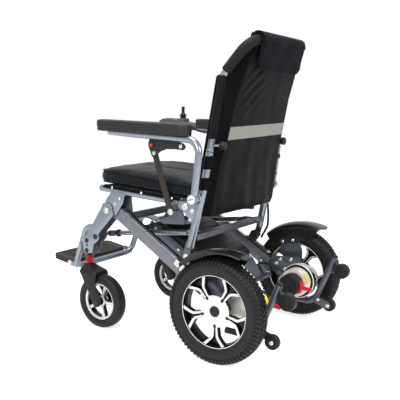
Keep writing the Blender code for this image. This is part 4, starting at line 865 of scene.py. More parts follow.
def makeFootplate():
    # Rounded rectangle rings, tilted by the slope; ribs across the middle, a raised rim round the edge
    f = footrest
    slope = math.tan(math.radians(f["slope"]))
    base = roundedOutline(rectangle(f["halfWide"], f["halfDeep"]), 0.02, 10)

    def onPlate(x, y, lift):
        # Places on the tilted plane through the middle of the footplate
        x, y, lift = np.broadcast_arrays(x, y, lift)
        return np.stack([x, f["middleY"] + y, f["height"] - slope * y + lift], 1)

    steps = [(0.004, -0.009), (0.0012, -0.0085), (0.0, -0.0065), (0.0, 0.006), (0.0008, 0.0082),
             (0.0024, 0.009), (0.006, 0.009), (0.0076, 0.0086), (0.0084, 0.0078)]
    shapes = [skinOf([onPlate(*insetBy(base, inset).T, lift) for inset, lift in steps])]
    t = np.linspace(0, math.pi, 9)
    for k in range(5):
        y = -0.033 + 0.015 * k + 0.0028 * np.cos(t)
        lift = 0.0066 + 0.003 * np.sin(t)
        shapes.append(skinOf([onPlate(x, y, lift) for x in (-0.1165, -0.115, 0.115, 0.1165)]))
    for k in range(18):
        x = -0.102 + 0.012 * k + np.array([-0.0018, 0.0018, 0.001, -0.001])
        shapes.append(skinOf([onPlate(x, y, (0.007, 0.007, 0.0088, 0.0088)) for y in (-0.03, 0.0255)]))
    addPiece("footplate_mat", shapes, "mat", "footplate", ["footplate"])


makeFrontLegs()
makeFootrest()
makeFootplate()
print("front legs and footrest done")


# Seat frame and its brackets


def seatZ(y):
    # Height of the side tubes' centre line
    return 0.478 - 0.082 * (y + 0.483)


def makeSeatFrame():
    a, b, foot = frontPivot, postPivot, strutFoot
    bottom = arcYZ(a, 0.02, -40, -190, 14)
    top, last = [(-0.43, 0.47), (-0.374, 0.4655)], [(-0.452, 0.446)]
    outerCheek = top + [(-0.384, 0.434), (-0.414, 0.393)] + bottom + last
    innerCheek = top + [(-0.368, 0.402), (-0.368, 0.375), (-0.402, 0.373), (-0.42, 0.387)] + bottom + last
    saddle = [(-0.43, 0.4625), (-0.375, 0.458), (-0.375, 0.469), (-0.43, 0.4735)]
    lug = [(-0.205, 0.459), (-0.198, 0.443), (-0.16, 0.429), *arcYZ(b, 0.0135, -110, 70, 12), (-0.172, 0.458)]
    hanger = [(-0.228, 0.46), (-0.17, 0.455), (-0.172, 0.415), (-0.165, 0.399), (-0.165, 0.38),
              (-0.25, 0.376), (-0.25, 0.394), (-0.222, 0.402)]
    tube = pipe([(0.218, -0.483, 0.478), (0.218, -0.172, seatZ(-0.172))], 0.011, 36, 0.0012)
    light = [tube, plate(outerCheek, 0.2265, 0.2305, 0.0008, 0.003),
             plate(saddle, 0.1985, 0.2292, 0.0008, 0.002), plate(lug, 0.2172, 0.2235, 0.0008, 0.003)]
    addPiece("seat_side_tubes", bothSides(light), "frame", "seat", ["seat_frame"])
    dark = [plate(innerCheek, 0.1975, 0.2015, 0.0008, 0.003), plate(hanger, 0.1948, 0.2005, 0.0008, 0.004),
            pipe([(0.188, -0.262, 0.385), (0.188, -0.135, 0.391)], 0.009, 28),
            plate([(-0.225, 0.446), (-0.176, 0.4425), (-0.176, 0.4535), (-0.225, 0.457)], 0.1952, 0.213,
                  0.0006, 0.001)]
    cross = block((-0.1995, -0.395, 0.377), (0.1995, -0.373, 0.399), 0.0012, 0.003)
    addPiece("seat_brackets", bothSides(dark) + [cross], "slate", "seat")
    heads = [rodX(a, 0.1865, 0.237, 0.005), bolt((0.2366, *a), 0.0085, 0.0044, washer=1.25),
             bolt((0.1914, *a), 0.008, 0.0044, -1), bolt((0.2302, *b), 0.0078, 0.004),
             rodX(foot, 0.196, 0.2405, 0.0044), bolt((0.2402, *foot), 0.0072, 0.004),
             bolt((0.2303, -0.398, 0.449), 0.0038, 0.0022), bolt((0.2303, -0.418, 0.43), 0.0034, 0.002)]
    heads += bolts(0.1948, [(-0.215, 0.449), (-0.185, 0.447), (-0.24, 0.385)], 0.004, 0.0026, -1)
    addPiece("seat_frame_bolts", bothSides(heads), "zinc", "seat")
    plug = softLathe([(-0.4875, 0.001), (-0.4875, 0.008), (-0.4855, 0.0108), (-0.4832, 0.0108),
                      (-0.4832, 0.001)], (0.218, 0.0, 0.4782), "Y", 32)
    addPiece("seat_tube_plugs", bothSides([plug]), "edge", "seat")


# Sloping side beams

beam = {"point": (-0.4, 0.394), "angle": -32.5, "x": (0.202, 0.226), "half": 0.02, "end": 0.376}


def onBeam(s, n, start=beam["point"]):
    # From the start by s along the beam and by n square to it
    c, d = math.cos(math.radians(beam["angle"])), math.sin(math.radians(beam["angle"]))
    return start[0] + s * c - n * d, start[1] + s * d + n * c


def beamPlate(outline, x0, x1, edge=0.0008, corner=0.0015):
    return plate([onBeam(s, n) for s, n in outline], x0, x1, edge, corner)


def makeBeams():
    half, end = beam["half"], beam["end"]
    x0, x1 = beam["x"]
    body = [beamPlate([(-0.01, -half), (end, -half), (end, half), (-0.01, half)], x0, x1, 0.001, 0.0012),
            plate(arcYZ(frontPivot, 0.0185, 70, 250, 14) + [onBeam(0.01, -0.0185), onBeam(0.01, 0.0185)],
                  0.2062, 0.2218, 0.0008, 0.001)]
    addPair("side_beam", body, "beam", "chassis", ["main_beam_*"], sharp=30)
    rail = [beamPlate([(0.2515, 0.0195), (end - 0.001, 0.0195), (end - 0.001, 0.0262), (0.2515, 0.0262)],
                      0.205, 0.223, 0.0006, 0.0006)]
    addPair("slide_rail_base", rail, "blackSteel", "chassis")
    ribs = [(0.263, 0.025), (0.359, 0.025)]
    for i in range(16):
        s = 0.359 - i * 0.006
        lift = 0.0322 if i % 2 else 0.0336
        ribs += [(s, lift), (s - 0.0052, lift)]
    bar = [beamPlate(ribs, 0.2078, 0.2202, 0.0004, 0.0003)]
    for s in (0.269, 0.353):
        centre = np.array([0.214, *onBeam(s, 0.032)])
        head = [(0.0, 0.0036), (0.0024, 0.0036), (0.0038, 0.0026), (0.0038, 0.0006)]
        head = lathe(head, (0, 0, 0), "Z", 24)
        head = turned([head[0] + centre, head[1], head[2]], centre, (1, 0, 0), beam["angle"])
        bar.append(head)
    addPair("slide_rail_ribbed_bar", bar, "zinc", "chassis")
    edge = [beamPlate([(0.016, half - 0.0004), (0.249, half - 0.0004), (0.249, half + 0.0004),
                       (0.016, half + 0.0004)], x0 + 0.01, x1 + 0.0005, 0.0003, 0.0003)]
    labels = [[(0.2505, 0.0), (0.2705, -0.001), (0.2705, 0.0185), (0.2505, 0.0185)],
              [(0.274, -0.003), (0.287, -0.004), (0.287, 0.0188), (0.274, 0.0188)]]
    blank = [beamPlate(label, x1 - 0.0004, x1 + 0.0008, 0.0003, 0.0008) for label in labels]
    addPair("beam_blank_labels", blank, "white", "chassis")
    addPair("beam_top_edge", edge, "edge", "chassis")
    dark = [beamPlate([(0.004, half - 0.0004), (0.249, half - 0.0004), (0.249, half + 0.001),
                       (0.004, half + 0.001)], x0 - 0.0003, x0 + 0.0098, 0.0003, 0.0003),
            beamPlate([(0.271, -0.004), (0.2734, -0.004), (0.2746, 0.02), (0.2722, 0.02)], x1 - 0.0004,
                      x1 + 0.0014, 0.0003, 0.0006)]
    addPair("beam_inner_seal", dark, "nylon", "chassis")


def makeSliders():
    # A core between two deeper cheeks, tilted like the beam
    core = [(-0.0135, -0.01), (0.0135, -0.01), (0.0146, 0.006), (0.0078, 0.0117), (-0.0078, 0.0117),
            (-0.0146, 0.006)]
    cheek = [(-0.014, -0.0205), (0.014, -0.0205), (0.015, 0.006), (0.008, 0.012), (-0.008, 0.012),
             (-0.015, 0.006)]
    shapes = []
    for outline, x0, x1 in ((core, 0.205, 0.223), (cheek, 0.202, 0.2056), (cheek, 0.2224, 0.228)):
        tilted = [onBeam(s, n, sliderPin) for s, n in outline]
        shapes.append(plate(tilted, x0, x1, 0.0006, 0.002))
    addPair("slider_block", shapes, "blackSteel", "slider_*", ["slider_*"])


makeSeatFrame()
makeBeams()
makeSliders()
print("seat frame and beams done")


# Battery tray and battery


def makeTray():
    front, rear = onBeam(0.077, 0.0), (-0.078, 0.152)
    cheek = [(0.062, -0.012), (0.062, 0.012), (0.34, 0.012), (0.4, -0.014), (0.418, -0.031), (0.4, -0.044),
             (0.3, -0.0352), (0.105, -0.0352)]
    end = [(-0.122, 0.2), (-0.1, 0.214), (-0.071, 0.172), (-0.064, 0.15), (-0.078, 0.138), (-0.092, 0.15)]
    shapes = [rodX(front, -0.2016, 0.2016, 0.008, 32), rodX(rear, -0.2, 0.2, 0.009, 32),
              beamPlate([(0.106, -0.035), (0.3, -0.035), (0.3, -0.0305), (0.106, -0.0305)], -0.134, 0.134,
                        0.0005, 0.001)]
    ends = [beamPlate(cheek, 0.1325, 0.1365, 0.0007, 0.004), plate(end, 0.1962, 0.2013, 0.0008, 0.004)]
    shapes += bothSides(ends)
    addPiece("battery_tray", shapes, "slate", "chassis", ["rear_cross_frame"])
    along = [onBeam(s, n) for s, n in ((0.09, 0.0), (0.2, -0.004), (0.31, -0.006), (0.392, -0.03))]
    heads = bothSides(bolts(0.1364, along, 0.004, 0.0026)
                      + bolts(0.1963, [(-0.106, 0.2), (-0.078, 0.16)], 0.0042, 0.0028, -1))
    addPiece("battery_tray_bolts", heads, "zinc", "chassis")


def makeBattery():
    outline = [(0.1, -0.025), (0.105, -0.0298), (0.318, -0.0298), (0.325, -0.023), (0.325, 0.021),
               (0.316, 0.03), (0.112, 0.03), (0.1, 0.019)]
    lid = [(0.12, 0.029), (0.306, 0.029), (0.302, 0.0345), (0.124, 0.0345)]
    shapes = [beamPlate(outline, -0.13, 0.13, 0.003, 0.006), beamPlate(lid, -0.118, 0.118, 0.002, 0.002)]
    for k in range(7):
        s = 0.14 + 0.024 * k
        rib = [(s, 0.0338), (s + 0.01, 0.0338), (s + 0.009, 0.0352), (s + 0.001, 0.0352)]
        shapes.append(beamPlate(rib, -0.095, 0.095, 0.0004, 0.0004))
    grip = [(0.3235, -0.008), (0.3235, 0.01), (0.329, 0.008), (0.329, -0.006)]
    shapes.append(beamPlate(grip, -0.045, 0.045, 0.0015, 0.002))
    addPiece("battery_case", shapes, "battery", "chassis", ["battery_pack"])


makeTray()
makeBattery()
print("battery done")


# Motors with their brake caps, levers and carrier plates

motor = {"axis": (0.047, 0.15)}


def makeMotors():
    # Gearbox at the hub, drum with its outer ring, grooved housing and the brake cap with its ribs
    y, z = motor["axis"]
    centre = (0.0, y, z)
    case = arcYZ(motor["axis"], 0.045, -100, 75, 20) + arcYZ(driveAxle, 0.03, 90, 255, 16)
    bell = [(0.231, 0.005), (0.231, 0.04), (0.201, 0.04), (0.2, 0.059), (0.196, 0.059), (0.1955, 0.0582),
            (0.1945, 0.0582), (0.194, 0.059), (0.1745, 0.059), (0.1735, 0.056), (0.1735, 0.005)]
    silver = [softLathe(bell, centre, "X", 96, corner=0.0006), plate(case, 0.2284, 0.2455, 0.0014, 0.002)]
    grooves = [(0.174, 0.005), (0.174, 0.0488)]
    for k in range(5):
        x = 0.1715 - 0.0062 * k
        grooves += [(x, 0.0486), (x - 0.0038, 0.048), (x - 0.0042, 0.0458), (x - 0.0058, 0.0456)]
    grooves += [(0.1395, 0.0472), (0.1395, 0.005)]
    silver.append(softLathe(grooves, centre, "X", 96, corner=0.0003))
    silver.append(rodX(driveAxle, 0.244, 0.288, 0.0085, 32))
    addPair("motor_housing", silver, "motorSilver", "chassis", ["motor_*"])
    # the ring is cream at the top and black round its rear and lower part; a thin black ring between it and
    # the drum is painted shade of the gap there
    band = labelOn(centre, 0.0591, (0.1752, 0.194), (-112, 44))
    gap = softLathe([(0.1723, 0.047), (0.1723, 0.0562), (0.1739, 0.0562), (0.1739, 0.047)], centre, "X", 96,
                    True, 0.0003)
    capShape = [(0.14, 0.005), (0.14, 0.0362), (0.133, 0.0366), (0.106, 0.0366), (0.1022, 0.0345),
                (0.1, 0.029), (0.1002, 0.012), (0.1016, 0.011), (0.1016, 0.005)]
    black = [softLathe(capShape, centre, "X", 80, corner=0.0012), band, gap]
    rib = block((0.107, y + 0.0355, z - 0.001), (0.133, y + 0.037, z + 0.001), 0.0003, 0.0003)
    black += [turned(rib, np.array(centre), (1, 0, 0), 4 + 15 * k) for k in range(24)]
    addPair("motor_brake_cap", black, "nylon", "chassis")
    labels = labelOn(centre, 0.0595, (0.1775, 0.1915), (33, 52))
    addPair("motor_blank_label", [labels], "label", "chassis")
    sticker = labelOn(centre, 0.0489, (0.1397, 0.154), (2, 44))
    addPair("motor_yellow_label", [sticker], "yellow", "chassis")


def makeMotorCarriers():
    # The tongue from the beam's end, the plate and the saddle that hold the motor, and its lead
    tongue = [onBeam(0.3765, -0.0175), (0.02, 0.124), (0.02, 0.18), onBeam(0.3765, 0.0175)]
    carrier = [(-0.062, 0.188), (-0.06, 0.222), (0.04, 0.228), (0.05, 0.206), (0.05, 0.165), (-0.03, 0.165)]
    saddle = [(0.034, 0.086), (0.058, 0.0845), (0.06, 0.118), (0.032, 0.118)]
    plates = [plate(tongue, 0.2075, 0.2205, 0.001, 0.003), plate(carrier, 0.195, 0.2008, 0.0008, 0.004),
              plate(saddle, 0.2045, 0.2195, 0.0006, 0.002)]
    addPair("motor_carrier", plates, "slate", "chassis")
    places = [(-0.03, 0.213), (0.01, 0.216), (-0.045, 0.198), (0.036, 0.186), (-0.012, 0.18)]
    heads = bolts(0.1952, places, 0.005, 0.0034, -1)
    addPair("motor_carrier_bolts", heads, "zinc", "chassis")
    lead = roundedPath([(0.15, 0.016, 0.176), (0.15, -0.05, 0.204), (0.15, -0.096, 0.198),
                        (0.15, -0.104, 0.178)], 0.018, 8)
    addPair("motor_lead", [pipe(lead, 0.0032, 20)], "lead", "chassis")


def labelOn(centre, radius, along, angles):
    # A thin curved patch on a turned surface, between two angles and two places along X
    low, high = radius, radius + 0.0004
    corners = [(along[0], low), (along[1], low), (along[1], high), (along[0], high)]
    rings = []
    for a in np.radians(np.linspace(angles[0], angles[1], 16)):
        rings.append([(centre[0] + x, centre[1] + r * math.cos(a), centre[2] + r * math.sin(a)) for x,
                      r in corners])
    return skinOf(rings)


def makeLevers():
    # A curved grip that hugs the brake cap, and a flat handle to the rear
    axis = motor["axis"]
    grip = arcYZ(axis, 0.0428, -36, 26, 30) + arcYZ(axis, 0.0371, 26, -36, 30)
    c, s = math.cos(math.radians(-6)), math.sin(math.radians(-6))
    corners = [(0.0385, -0.0068), (0.056, -0.0062), (0.0745, -0.0062), (0.0765, -0.0046), (0.0765, 0.0046),
               (0.0745, 0.0062), (0.056, 0.0062), (0.0385, 0.0068)]
    handle = [(axis[0] + r * c - w * s, axis[1] + r * s + w * c) for r, w in corners]
    shapes = [plate(grip, 0.108, 0.12, 0.001, 0), plate(handle, 0.1118, 0.1174, 0.0012, 0.0015)]
    addPair("release_lever_grip", shapes, "lever", "lever_*", ["release_lever_*"], sharp=50)


makeMotors()
makeMotorCarriers()
makeLevers()
print("motors done")


# Wheel guards and the rear arms with their small wheels

guard = {
    "x": 0.28, "z": 0.157,
    # degrees round the axle, radii of crown, outer lip and inner skirt, and the crown's lead at the rear
    "stations": [(131, 0.1768, 0.1605, 0.12, 0.0), (126, 0.1771, 0.1605, 0.113, 0.0),
                 (118, 0.1775, 0.1605, 0.1095, 0.0), (108, 0.178, 0.1605, 0.108, 0.0),
                 (99, 0.179, 0.1645, 0.107, 0.0), (91, 0.1805, 0.1695, 0.107, 0.1),
                 (84, 0.1825, 0.1745, 0.108, 0.3), (77, 0.1855, 0.179, 0.119, 0.8),
                 (71, 0.1885, 0.1825, 0.134, 1.8), (66, 0.1915, 0.1855, 0.146, 3.2),
                 (62, 0.194, 0.188, 0.156, 5.0)],
    # place along X and how far down from the crown to the lip or skirt
    "section": [(0.2445, 1.0), (0.2445, 0.6), (0.2447, 0.3), (0.248, 0.13), (0.258, 0.04), (0.28, 0.0),
                (0.302, 0.14), (0.3125, 0.55), (0.3145, 1.0)],
}


def makeGuards():
    # Radius = crown - share (crown - skirt or lip); the inner skin is 2.5 mm further in
    x, innerX, outerX = guard["x"], guard["section"][0][0], guard["section"][-1][0]
    half = smoothed(guard["section"], 5)
    half[:, 1] = np.clip(half[:, 1], 0, 1)
    half[:, 0] = np.clip(half[:, 0], innerX, outerX)
    wall = np.column_stack([half[:, 0] + (x - half[:, 0]) * 0.071, half[:, 1]])[::-1]
    section = np.vstack([half, wall])
    inset = np.concatenate([np.zeros(len(half)), 0.0025 * (wall[:, 1] < 0.93)])
    rings = []
    for angle, crown, lip, skirt, point in smoothed(guard["stations"], 5):
        edge = np.where(section[:, 0] < 0.27, skirt, lip)
        radius = crown - section[:, 1] * (crown - edge) - inset
        a = np.radians(angle - point * (1 - ((section[:, 0] - x) / 0.036) ** 2))
        rings.append(np.column_stack([section[:, 0], radius * np.cos(a), guard["z"] + radius * np.sin(a)]))
    bracket = [(-0.056, 0.222), (-0.02, 0.1995), (0.03, 0.2), (0.03, 0.24), (0.02, 0.2735), (-0.05, 0.2665)]
    addPair("wheel_guard", [skinOf(rings)], "gloss", "chassis", ["fender_*"], sharp=50)
    heads = bolts(0.2447, [(-0.046, 0.2662), (-0.0064, 0.2743)], 0.0044, 0.0026, -1)
    addPair("wheel_guard_bracket", [plate(bracket, 0.2447, 0.2488, 0.0008, 0.006)], "slate", "chassis")
    addPair("wheel_guard_bolts", heads, "zinc", "chassis")


rearArm = {"x": 0.212, "low": (0.146, 0.0715), "high": (0.192, 0.196), "top": (0.165, 0.241),
           "radius": 0.0095, "topTilt": -23.9}


def makeRearArms():
    # The roller sits on the chair's right-hand face of both arms, so left and right aren't mirror images
    x, low, high, top = rearArm["x"], rearArm["low"], rearArm["high"], rearArm["top"]
    path = roundedPath([(x, -0.01, 0.078), (x, 0.09, 0.072), (x, *top)], 0.045, 12)
    lowPlate = plate([(0.09, 0.079), (0.108, 0.098), (0.152, 0.082), (0.1575, 0.07), (0.15, 0.06),
                      (0.138, 0.06)], 0.1985, 0.2045, 0.0008, 0.004)
    end = [(0.0, 0.002), (0.0, 0.01), (0.0035, 0.01), (0.005, 0.008), (0.005, 0.001)]
    end = lathe(end, (0, 0, 0), "Z", 32)
    for tag, side in (("L", 1), ("R", -1)):
        x0, x1 = (0.1985, 0.2045) if side > 0 else (-0.2255, -0.2195)
        carrier = [(0.126, 0.176), (0.15, 0.222)] + arcYZ(high, 0.0095, 60, -100, 12)
        carrier = plate(carrier, x0, x1, 0.0008, 0.003)
        arm = pipe(path * (side, 1, 1), rearArm["radius"], 36)
        mine = lowPlate if side > 0 else mirrorX(lowPlate)
        addPiece(f"rear_arm_{tag}", [arm, mine, carrier], "slate", "chassis", [f"anti_tip_arm_{tag}"])
        place = np.array([x * side, *top])
        tip = turned([end[0] + place, end[1], end[2]], place, (1, 0, 0), rearArm["topTilt"])
        addPiece(f"rear_arm_end_plug_{tag}", [tip], "nylon", "chassis")
        ends = [rodX(high, x1 - 0.0005, x1 + 0.0245, 0.004), bolt((x1 + 0.024, *high), 0.007, 0.0026)]
        addPiece(f"roller_axle_{tag}", ends, "nylon", "chassis")
        axle = rodX(low, *sorted((0.2035 * side, 0.226 * side)), 0.004)
        pins = [bolt((x0, *high), 0.0058, 0.003, -1), axle, bolt((0.225 * side, *low), 0.0054, 0.0032, side),
                bolt((0.1985 * side, *low), 0.005, 0.003, -side)]
        pins += [bolt((0.1985 * side, 0.112, 0.088), 0.004, 0.0026, -side),
                 bolt((x0, 0.139, 0.19), 0.004, 0.0026, -1)]
        addPiece(f"rear_arm_bolts_{tag}", pins, "zinc", "chassis")
        profile = [(x1 + 0.001, 0.0048), (x1 + 0.001, 0.0222), (x1 + 0.003, 0.025), (x1 + 0.021, 0.025),
                   (x1 + 0.0235, 0.0222), (x1 + 0.0235, 0.0048)]
        addPiece(f"roller_{tag}_skin", [softLathe(profile, (0, *high), "X", 64, True, 0.0014)], "tyre",
                 f"roller_{tag}", [f"transport_roller_{tag}"], slot="grey_rubber")
        small = [(0.206, 0.0048), (0.206, 0.0195), (0.2085, 0.0225), (0.2215, 0.0225), (0.224, 0.0195),
                 (0.224, 0.0048)]
        wheel = softLathe(small, (0, *low), "X", 56, True, 0.0012)
        addPiece(f"anti_tip_wheel_{tag}_skin", [wheel if side > 0 else mirrorX(wheel)], "tyre",
                 f"anti_tip_wheel_{tag}", [f"anti_tip_wheel_{tag}"])


makeGuards()
makeRearArms()
print("guards and rear arms done")


# Back frame, its top hoop and hand knobs

backFrame = {
    # left tube's centre line, from the foot to the top corner
    "line": [(0.2247, -0.1285, 0.318), (0.2135, -0.0905, 0.48), (0.199, -0.067, 0.638),
             (0.1852, -0.037, 0.828), (0.178, 0.0512, 0.9275)],
    "tube": 0.011, "foam": 0.0155, "corner": 0.056, "foamStart": 0.8372,
}


def backPoint(z):
    line = np.array(backFrame["line"])
    return np.array([np.interp(z, line[:, 2], line[:, k]) for k in range(3)])


def makeRearFrame():
    # Lower posts, gussets, foot tabs with the slider's pin, lugs for the rods, and the cross bar
    line = backFrame["line"]
    posts = pipe(roundedPath([line[0], line[1], backPoint(0.606)], 0.05, 8), 0.0125, 36, 0.001)
    gusset = [(-0.16, 0.45), (-0.155, 0.431), (-0.118, 0.393), (-0.102, 0.39), (-0.096, 0.44),
              (-0.101, 0.454), (-0.14, 0.457)]
    tab = arcYZ(sliderPin, 0.0125, 180, 360, 14) + [(-0.115, 0.335), (-0.136, 0.34)]
    lug = barOutline(linkRear, (-0.118, 0.349), 0.01)
    light = [posts, plate(gusset, 0.2245, 0.2295, 0.0009, 0.005)]
    addPiece("back_posts", bothSides(light), "frame", "back", ["rear_frame"])
    dark = [plate(tab, 0.2285, 0.2325, 0.0008, 0.001), plate(lug, 0.1478, 0.1533, 0.0008, 0),
            plate(lug, 0.1607, 0.1662, 0.0008, 0)]
    cross = block((-0.213, -0.13, 0.337), (0.213, -0.11, 0.357), 0.001, 0.003)
    addPiece("back_cross_bar", bothSides(dark) + [cross], "slate", "back")
    heads = [rodX(sliderPin, 0.224, 0.2295, 0.004), bolt((0.2323, *sliderPin), 0.0062, 0.0034),
             bolt((0.2293, -0.118, 0.43), 0.0052, 0.003), bolt((0.2293, -0.126, 0.403), 0.004, 0.0026),
             bolt((0.1661, -0.122, 0.349), 0.0036, 0.0024), bolt((0.1479, -0.122, 0.349), 0.0036, 0.0024, -1)]
    addPiece("back_frame_bolts", bothSides(heads), "zinc", "back")


def makeHoop():
    line = np.array(backFrame["line"])
    half = [backPoint(0.6064), *line[2:]]
    corners = half + [p * (-1, 1, 1) for p in half[::-1]]
    path = roundedPath(corners, backFrame["corner"], 16)
    # the bare tube runs up into the foam; the foam is the part of the path above its start height
    foam = path[path[:, 2] > backFrame["foamStart"]]
    middle = len(path) // 2
    low = path[:middle][path[:middle, 2] <= backFrame["foamStart"] + 0.012]
    bare = pipe(low, backFrame["tube"], 36)
    collar = pipe([backPoint(0.607), backPoint(0.612)], 0.0128, 36)
    addPiece("back_hoop_tube", bothSides([bare, collar]), "frame", "back", ["back_hoop"])
    steps = np.linspace(0, 1, len(foam))
    swell = backFrame["foam"] - 0.0022 * np.exp(-steps * 260) - 0.0022 * np.exp(-(1 - steps) * 260)
    addPiece("hoop_foam", [pipe(foam, swell, 48, 0.0016)], "grip", "back")


def makeKnobs():
    # Five lobes: radius (1 + 0.09 cos 5 t); a bright stem runs into the post
    x, y, z = backPoint(0.625)
    t = np.linspace(0, 2 * math.pi, 61)[:-1]
    rings = []
    profile = [(-0.0386, 0.007), (-0.0384, 0.0088), (-0.0365, 0.0108), (-0.0345, 0.012), (-0.024, 0.0122),
               (-0.0215, 0.0115), (-0.0197, 0.0096), (-0.019, 0.006)]
    for along, radius in profile:
        r = radius * (1 + 0.09 * np.cos(5 * t))
        rings.append(np.stack([x + r * np.cos(t), np.full(60, along), z + r * np.sin(t)], 1))
    addPair("knob_star", [skinOf(rings)], "nylon", "knob_*", ["back_knob_*"])
    start = y + 0.0118
    stem = [(start, 0.0006), (start, 0.0032), (-0.038, 0.0032), (-0.038, 0.0006)]
    stem = softLathe(stem, (x, 0.0, z), "Y", 24)
    washer = softLathe([(-0.0425, 0.0034), (-0.0425, 0.0062), (-0.0385, 0.0062), (-0.0385, 0.0034)],
                       (x, 0.0, z), "Y", 28, True)
    addPair("knob_stem", [stem, washer], "zinc", "knob_*")


makeRearFrame()
makeHoop()
makeKnobs()
print("back frame done")


# Cloth of the back

backCloth = {
    # the rear sheet: height, place along Y at its edge, half width
    "rear": [(0.41, -0.078, 0.2), (0.43, -0.068, 0.198), (0.52, -0.052, 0.192), (0.6, -0.038, 0.184),
             (0.683, -0.018, 0.178), (0.767, 0.003, 0.17), (0.835, 0.026, 0.164), (0.875, 0.04, 0.158),
             (0.912, 0.052, 0.146)],
    # half width of the front under the bend of the upper frame: height, half width
    "arch": [(0.842, 0.1705), (0.885, 0.1665), (0.895, 0.164), (0.9, 0.1615), (0.906, 0.156), (0.912, 0.147),
             (0.915, 0.141)],
    "creases": 0.0011, "stripLow": 0.64, "stripHigh": 0.678, "stripTilt": 0.03, "stripHalf": 0.176,
}
postTurn = np.linspace(0, 2 * math.pi, 49)[:-1]


def postRing(z, radius):
    # A ring round the post's centre line at that height; the radius may differ along postTurn
    px, py, _ = backPoint(z)
    return np.stack([px + radius * np.cos(postTurn), py + radius * np.sin(postTurn),
                     np.full(len(postTurn), z)], 1)


def rearSheet(z):
    rows = np.array(backCloth["rear"])
    return np.interp(z, rows[:, 0], rows[:, 1]), np.interp(z, rows[:, 0], rows[:, 2])


def rearFace(x, z):
    # The stretched sheet bows 3.5 mm to the rear, with upright creases below and slanted ones top left
    x, z = np.asarray(x, float), np.asarray(z, float)
    edge, wide = rearSheet(z)
    u = np.clip(x / wide, -1, 1)
    bow = 0.001 + 0.0035 * (1 - u**2)
    below = np.clip((0.66 - z) / 0.12, 0, 1)
    upright = np.sin(u * 9.0 + 1.3 * np.sin(z * 21.0) + 0.4) + 0.6 * np.sin(u * 17.0 - z * 13.0)
    upright = upright * (0.35 + 0.65 * below)
    corner = np.exp(-(((x - 0.1) / 0.06) ** 2 + ((z - 0.8) / 0.07) ** 2))
    slanted = corner * np.sin((x * 0.8 + z) * 150.0) * 1.6
    dent = 0.0014 * np.exp(-(((z - 0.475 + 0.06 * x) / 0.003) ** 2))
    hold = np.clip((1 - np.abs(u)) / 0.1, 0, 1)
    return edge + bow + backCloth["creases"] * (upright + slanted) * hold - dent * hold


def clothRings():
    # Round each height: front sheet, the post's inner side, the side gusset, then the rear sheet
    lower, upper = np.arange(0.422, 0.822, 0.008), np.arange(0.824, 0.909, 0.004)
    heights = np.concatenate([[0.413, 0.416], lower, upper, [0.911, 0.915]])
    r = 0.0135
    rings = []
    for z in heights:
        px, py, _ = backPoint(z)
        back, wide = (float(v) for v in rearSheet(z))
        m = float(np.interp(z, (0.826, 0.842), (0, 1)))
        front = py - 0.0205 + 0.0145 * m
        arch = float(np.interp(z, *np.array(backCloth["arch"]).T))
        outer = (min(px + 0.0075, 0.2232)) * (1 - m) + arch * m
        low = [(outer * 0.55, front), (outer - 0.006, front + 0.0002), (outer - 0.0015, front + 0.0016),
               (outer, front + 0.0036), (outer - 0.0012, front + 0.006), (px - 0.72 * r, py - 0.86 * r),
               (px - 1.08 * r, py), (px - 0.3 * r, py + 1.0 * r)]
        high = [(outer * 0.55, front), (outer - 0.006, front + 0.0002), (outer - 0.0015, front + 0.001),
                (outer, front + 0.0026), (outer - 0.0006, front + 0.005), (outer - 0.0004, py + 0.003),
                (outer, py + 0.008), (outer + 0.001, py + 0.015)]
        side = [tuple(np.array(a) * (1 - m) + np.array(b) * m) for a, b in zip(low, high)]
        wave = 0.001 * math.sin(z * 95.0) + 0.0007 * math.sin(z * 43.0 + 1.0)
        p, q = np.array(side[-1]), np.array([wide, back - 0.004])
        gusset = [tuple(p + (q - p) * t + (wave * math.sin(math.pi * t), 0.0))
                  for t in (0.25, 0.5, 0.75, 1.0)]
        across = wide * np.sin(np.linspace(math.pi / 2, 0, 22))
        half = [(0.0, front)] + side + gusset + [(wide + 0.0004, back - 0.001)]
        rear = [(x, float(rearFace(x, z))) for x in across]
        mirrored = [(-x, float(rearFace(-x, z))) for x in across[-2::-1]] + [(-x, y) for x, y in half[:0:-1]]
        rings.append([(x, y, z) for x, y in half + rear + mirrored])
    return rings


def makeBackCloth():
    bag = addPiece("back_cloth_bag", [skinOf(clothRings())], "backCloth", "back", ["back_sling"], sharp=60)
    rings = []
    for z in np.linspace(0.4115, 0.908, 90):
        across = (rearSheet(z)[1] + 0.0008) * np.sin(np.linspace(math.pi / 2, -math.pi / 2, 61))
        face = rearFace(across, np.full(61, z))
        outer = np.stack([across, face + 0.0012, np.full(61, z)], 1)
        rings.append(np.vstack([outer, np.stack([across, face - 0.0006, np.full(61, z)], 1)[::-1]]))
    panel = addPiece("back_rear_panel", [skinOf(rings)], "panelCloth", "back", sharp=60)


def makeSleeves():
    # The hem that holds the sheet on the upper tube, with upright wrinkles and one cross crease
    rows = np.linspace(0.644, 0.827, 64)
    rings = []
    for z in rows:
        ends = min(1.0, (z - 0.64) / 0.004, (0.83 - z) / 0.003)
        pinch = 0.0008 * math.exp(-(((z - 0.715) / 0.004) ** 2))
        r = 0.0127 + 0.0006 * ends - pinch
        folds = 0.00045 * np.sin(7 * postTurn + 3 * math.sin(z * 24))
        folds = folds + 0.00035 * np.sin(3 * postTurn + z * 60)
        rings.append(postRing(z, r + folds))
    rings += [postRing(z, 0.0113) for z in rows[::-4]]
    sleeve = addPair("post_sleeve", [skinOf(rings, True)], "sleeve", "back", sharp=60)


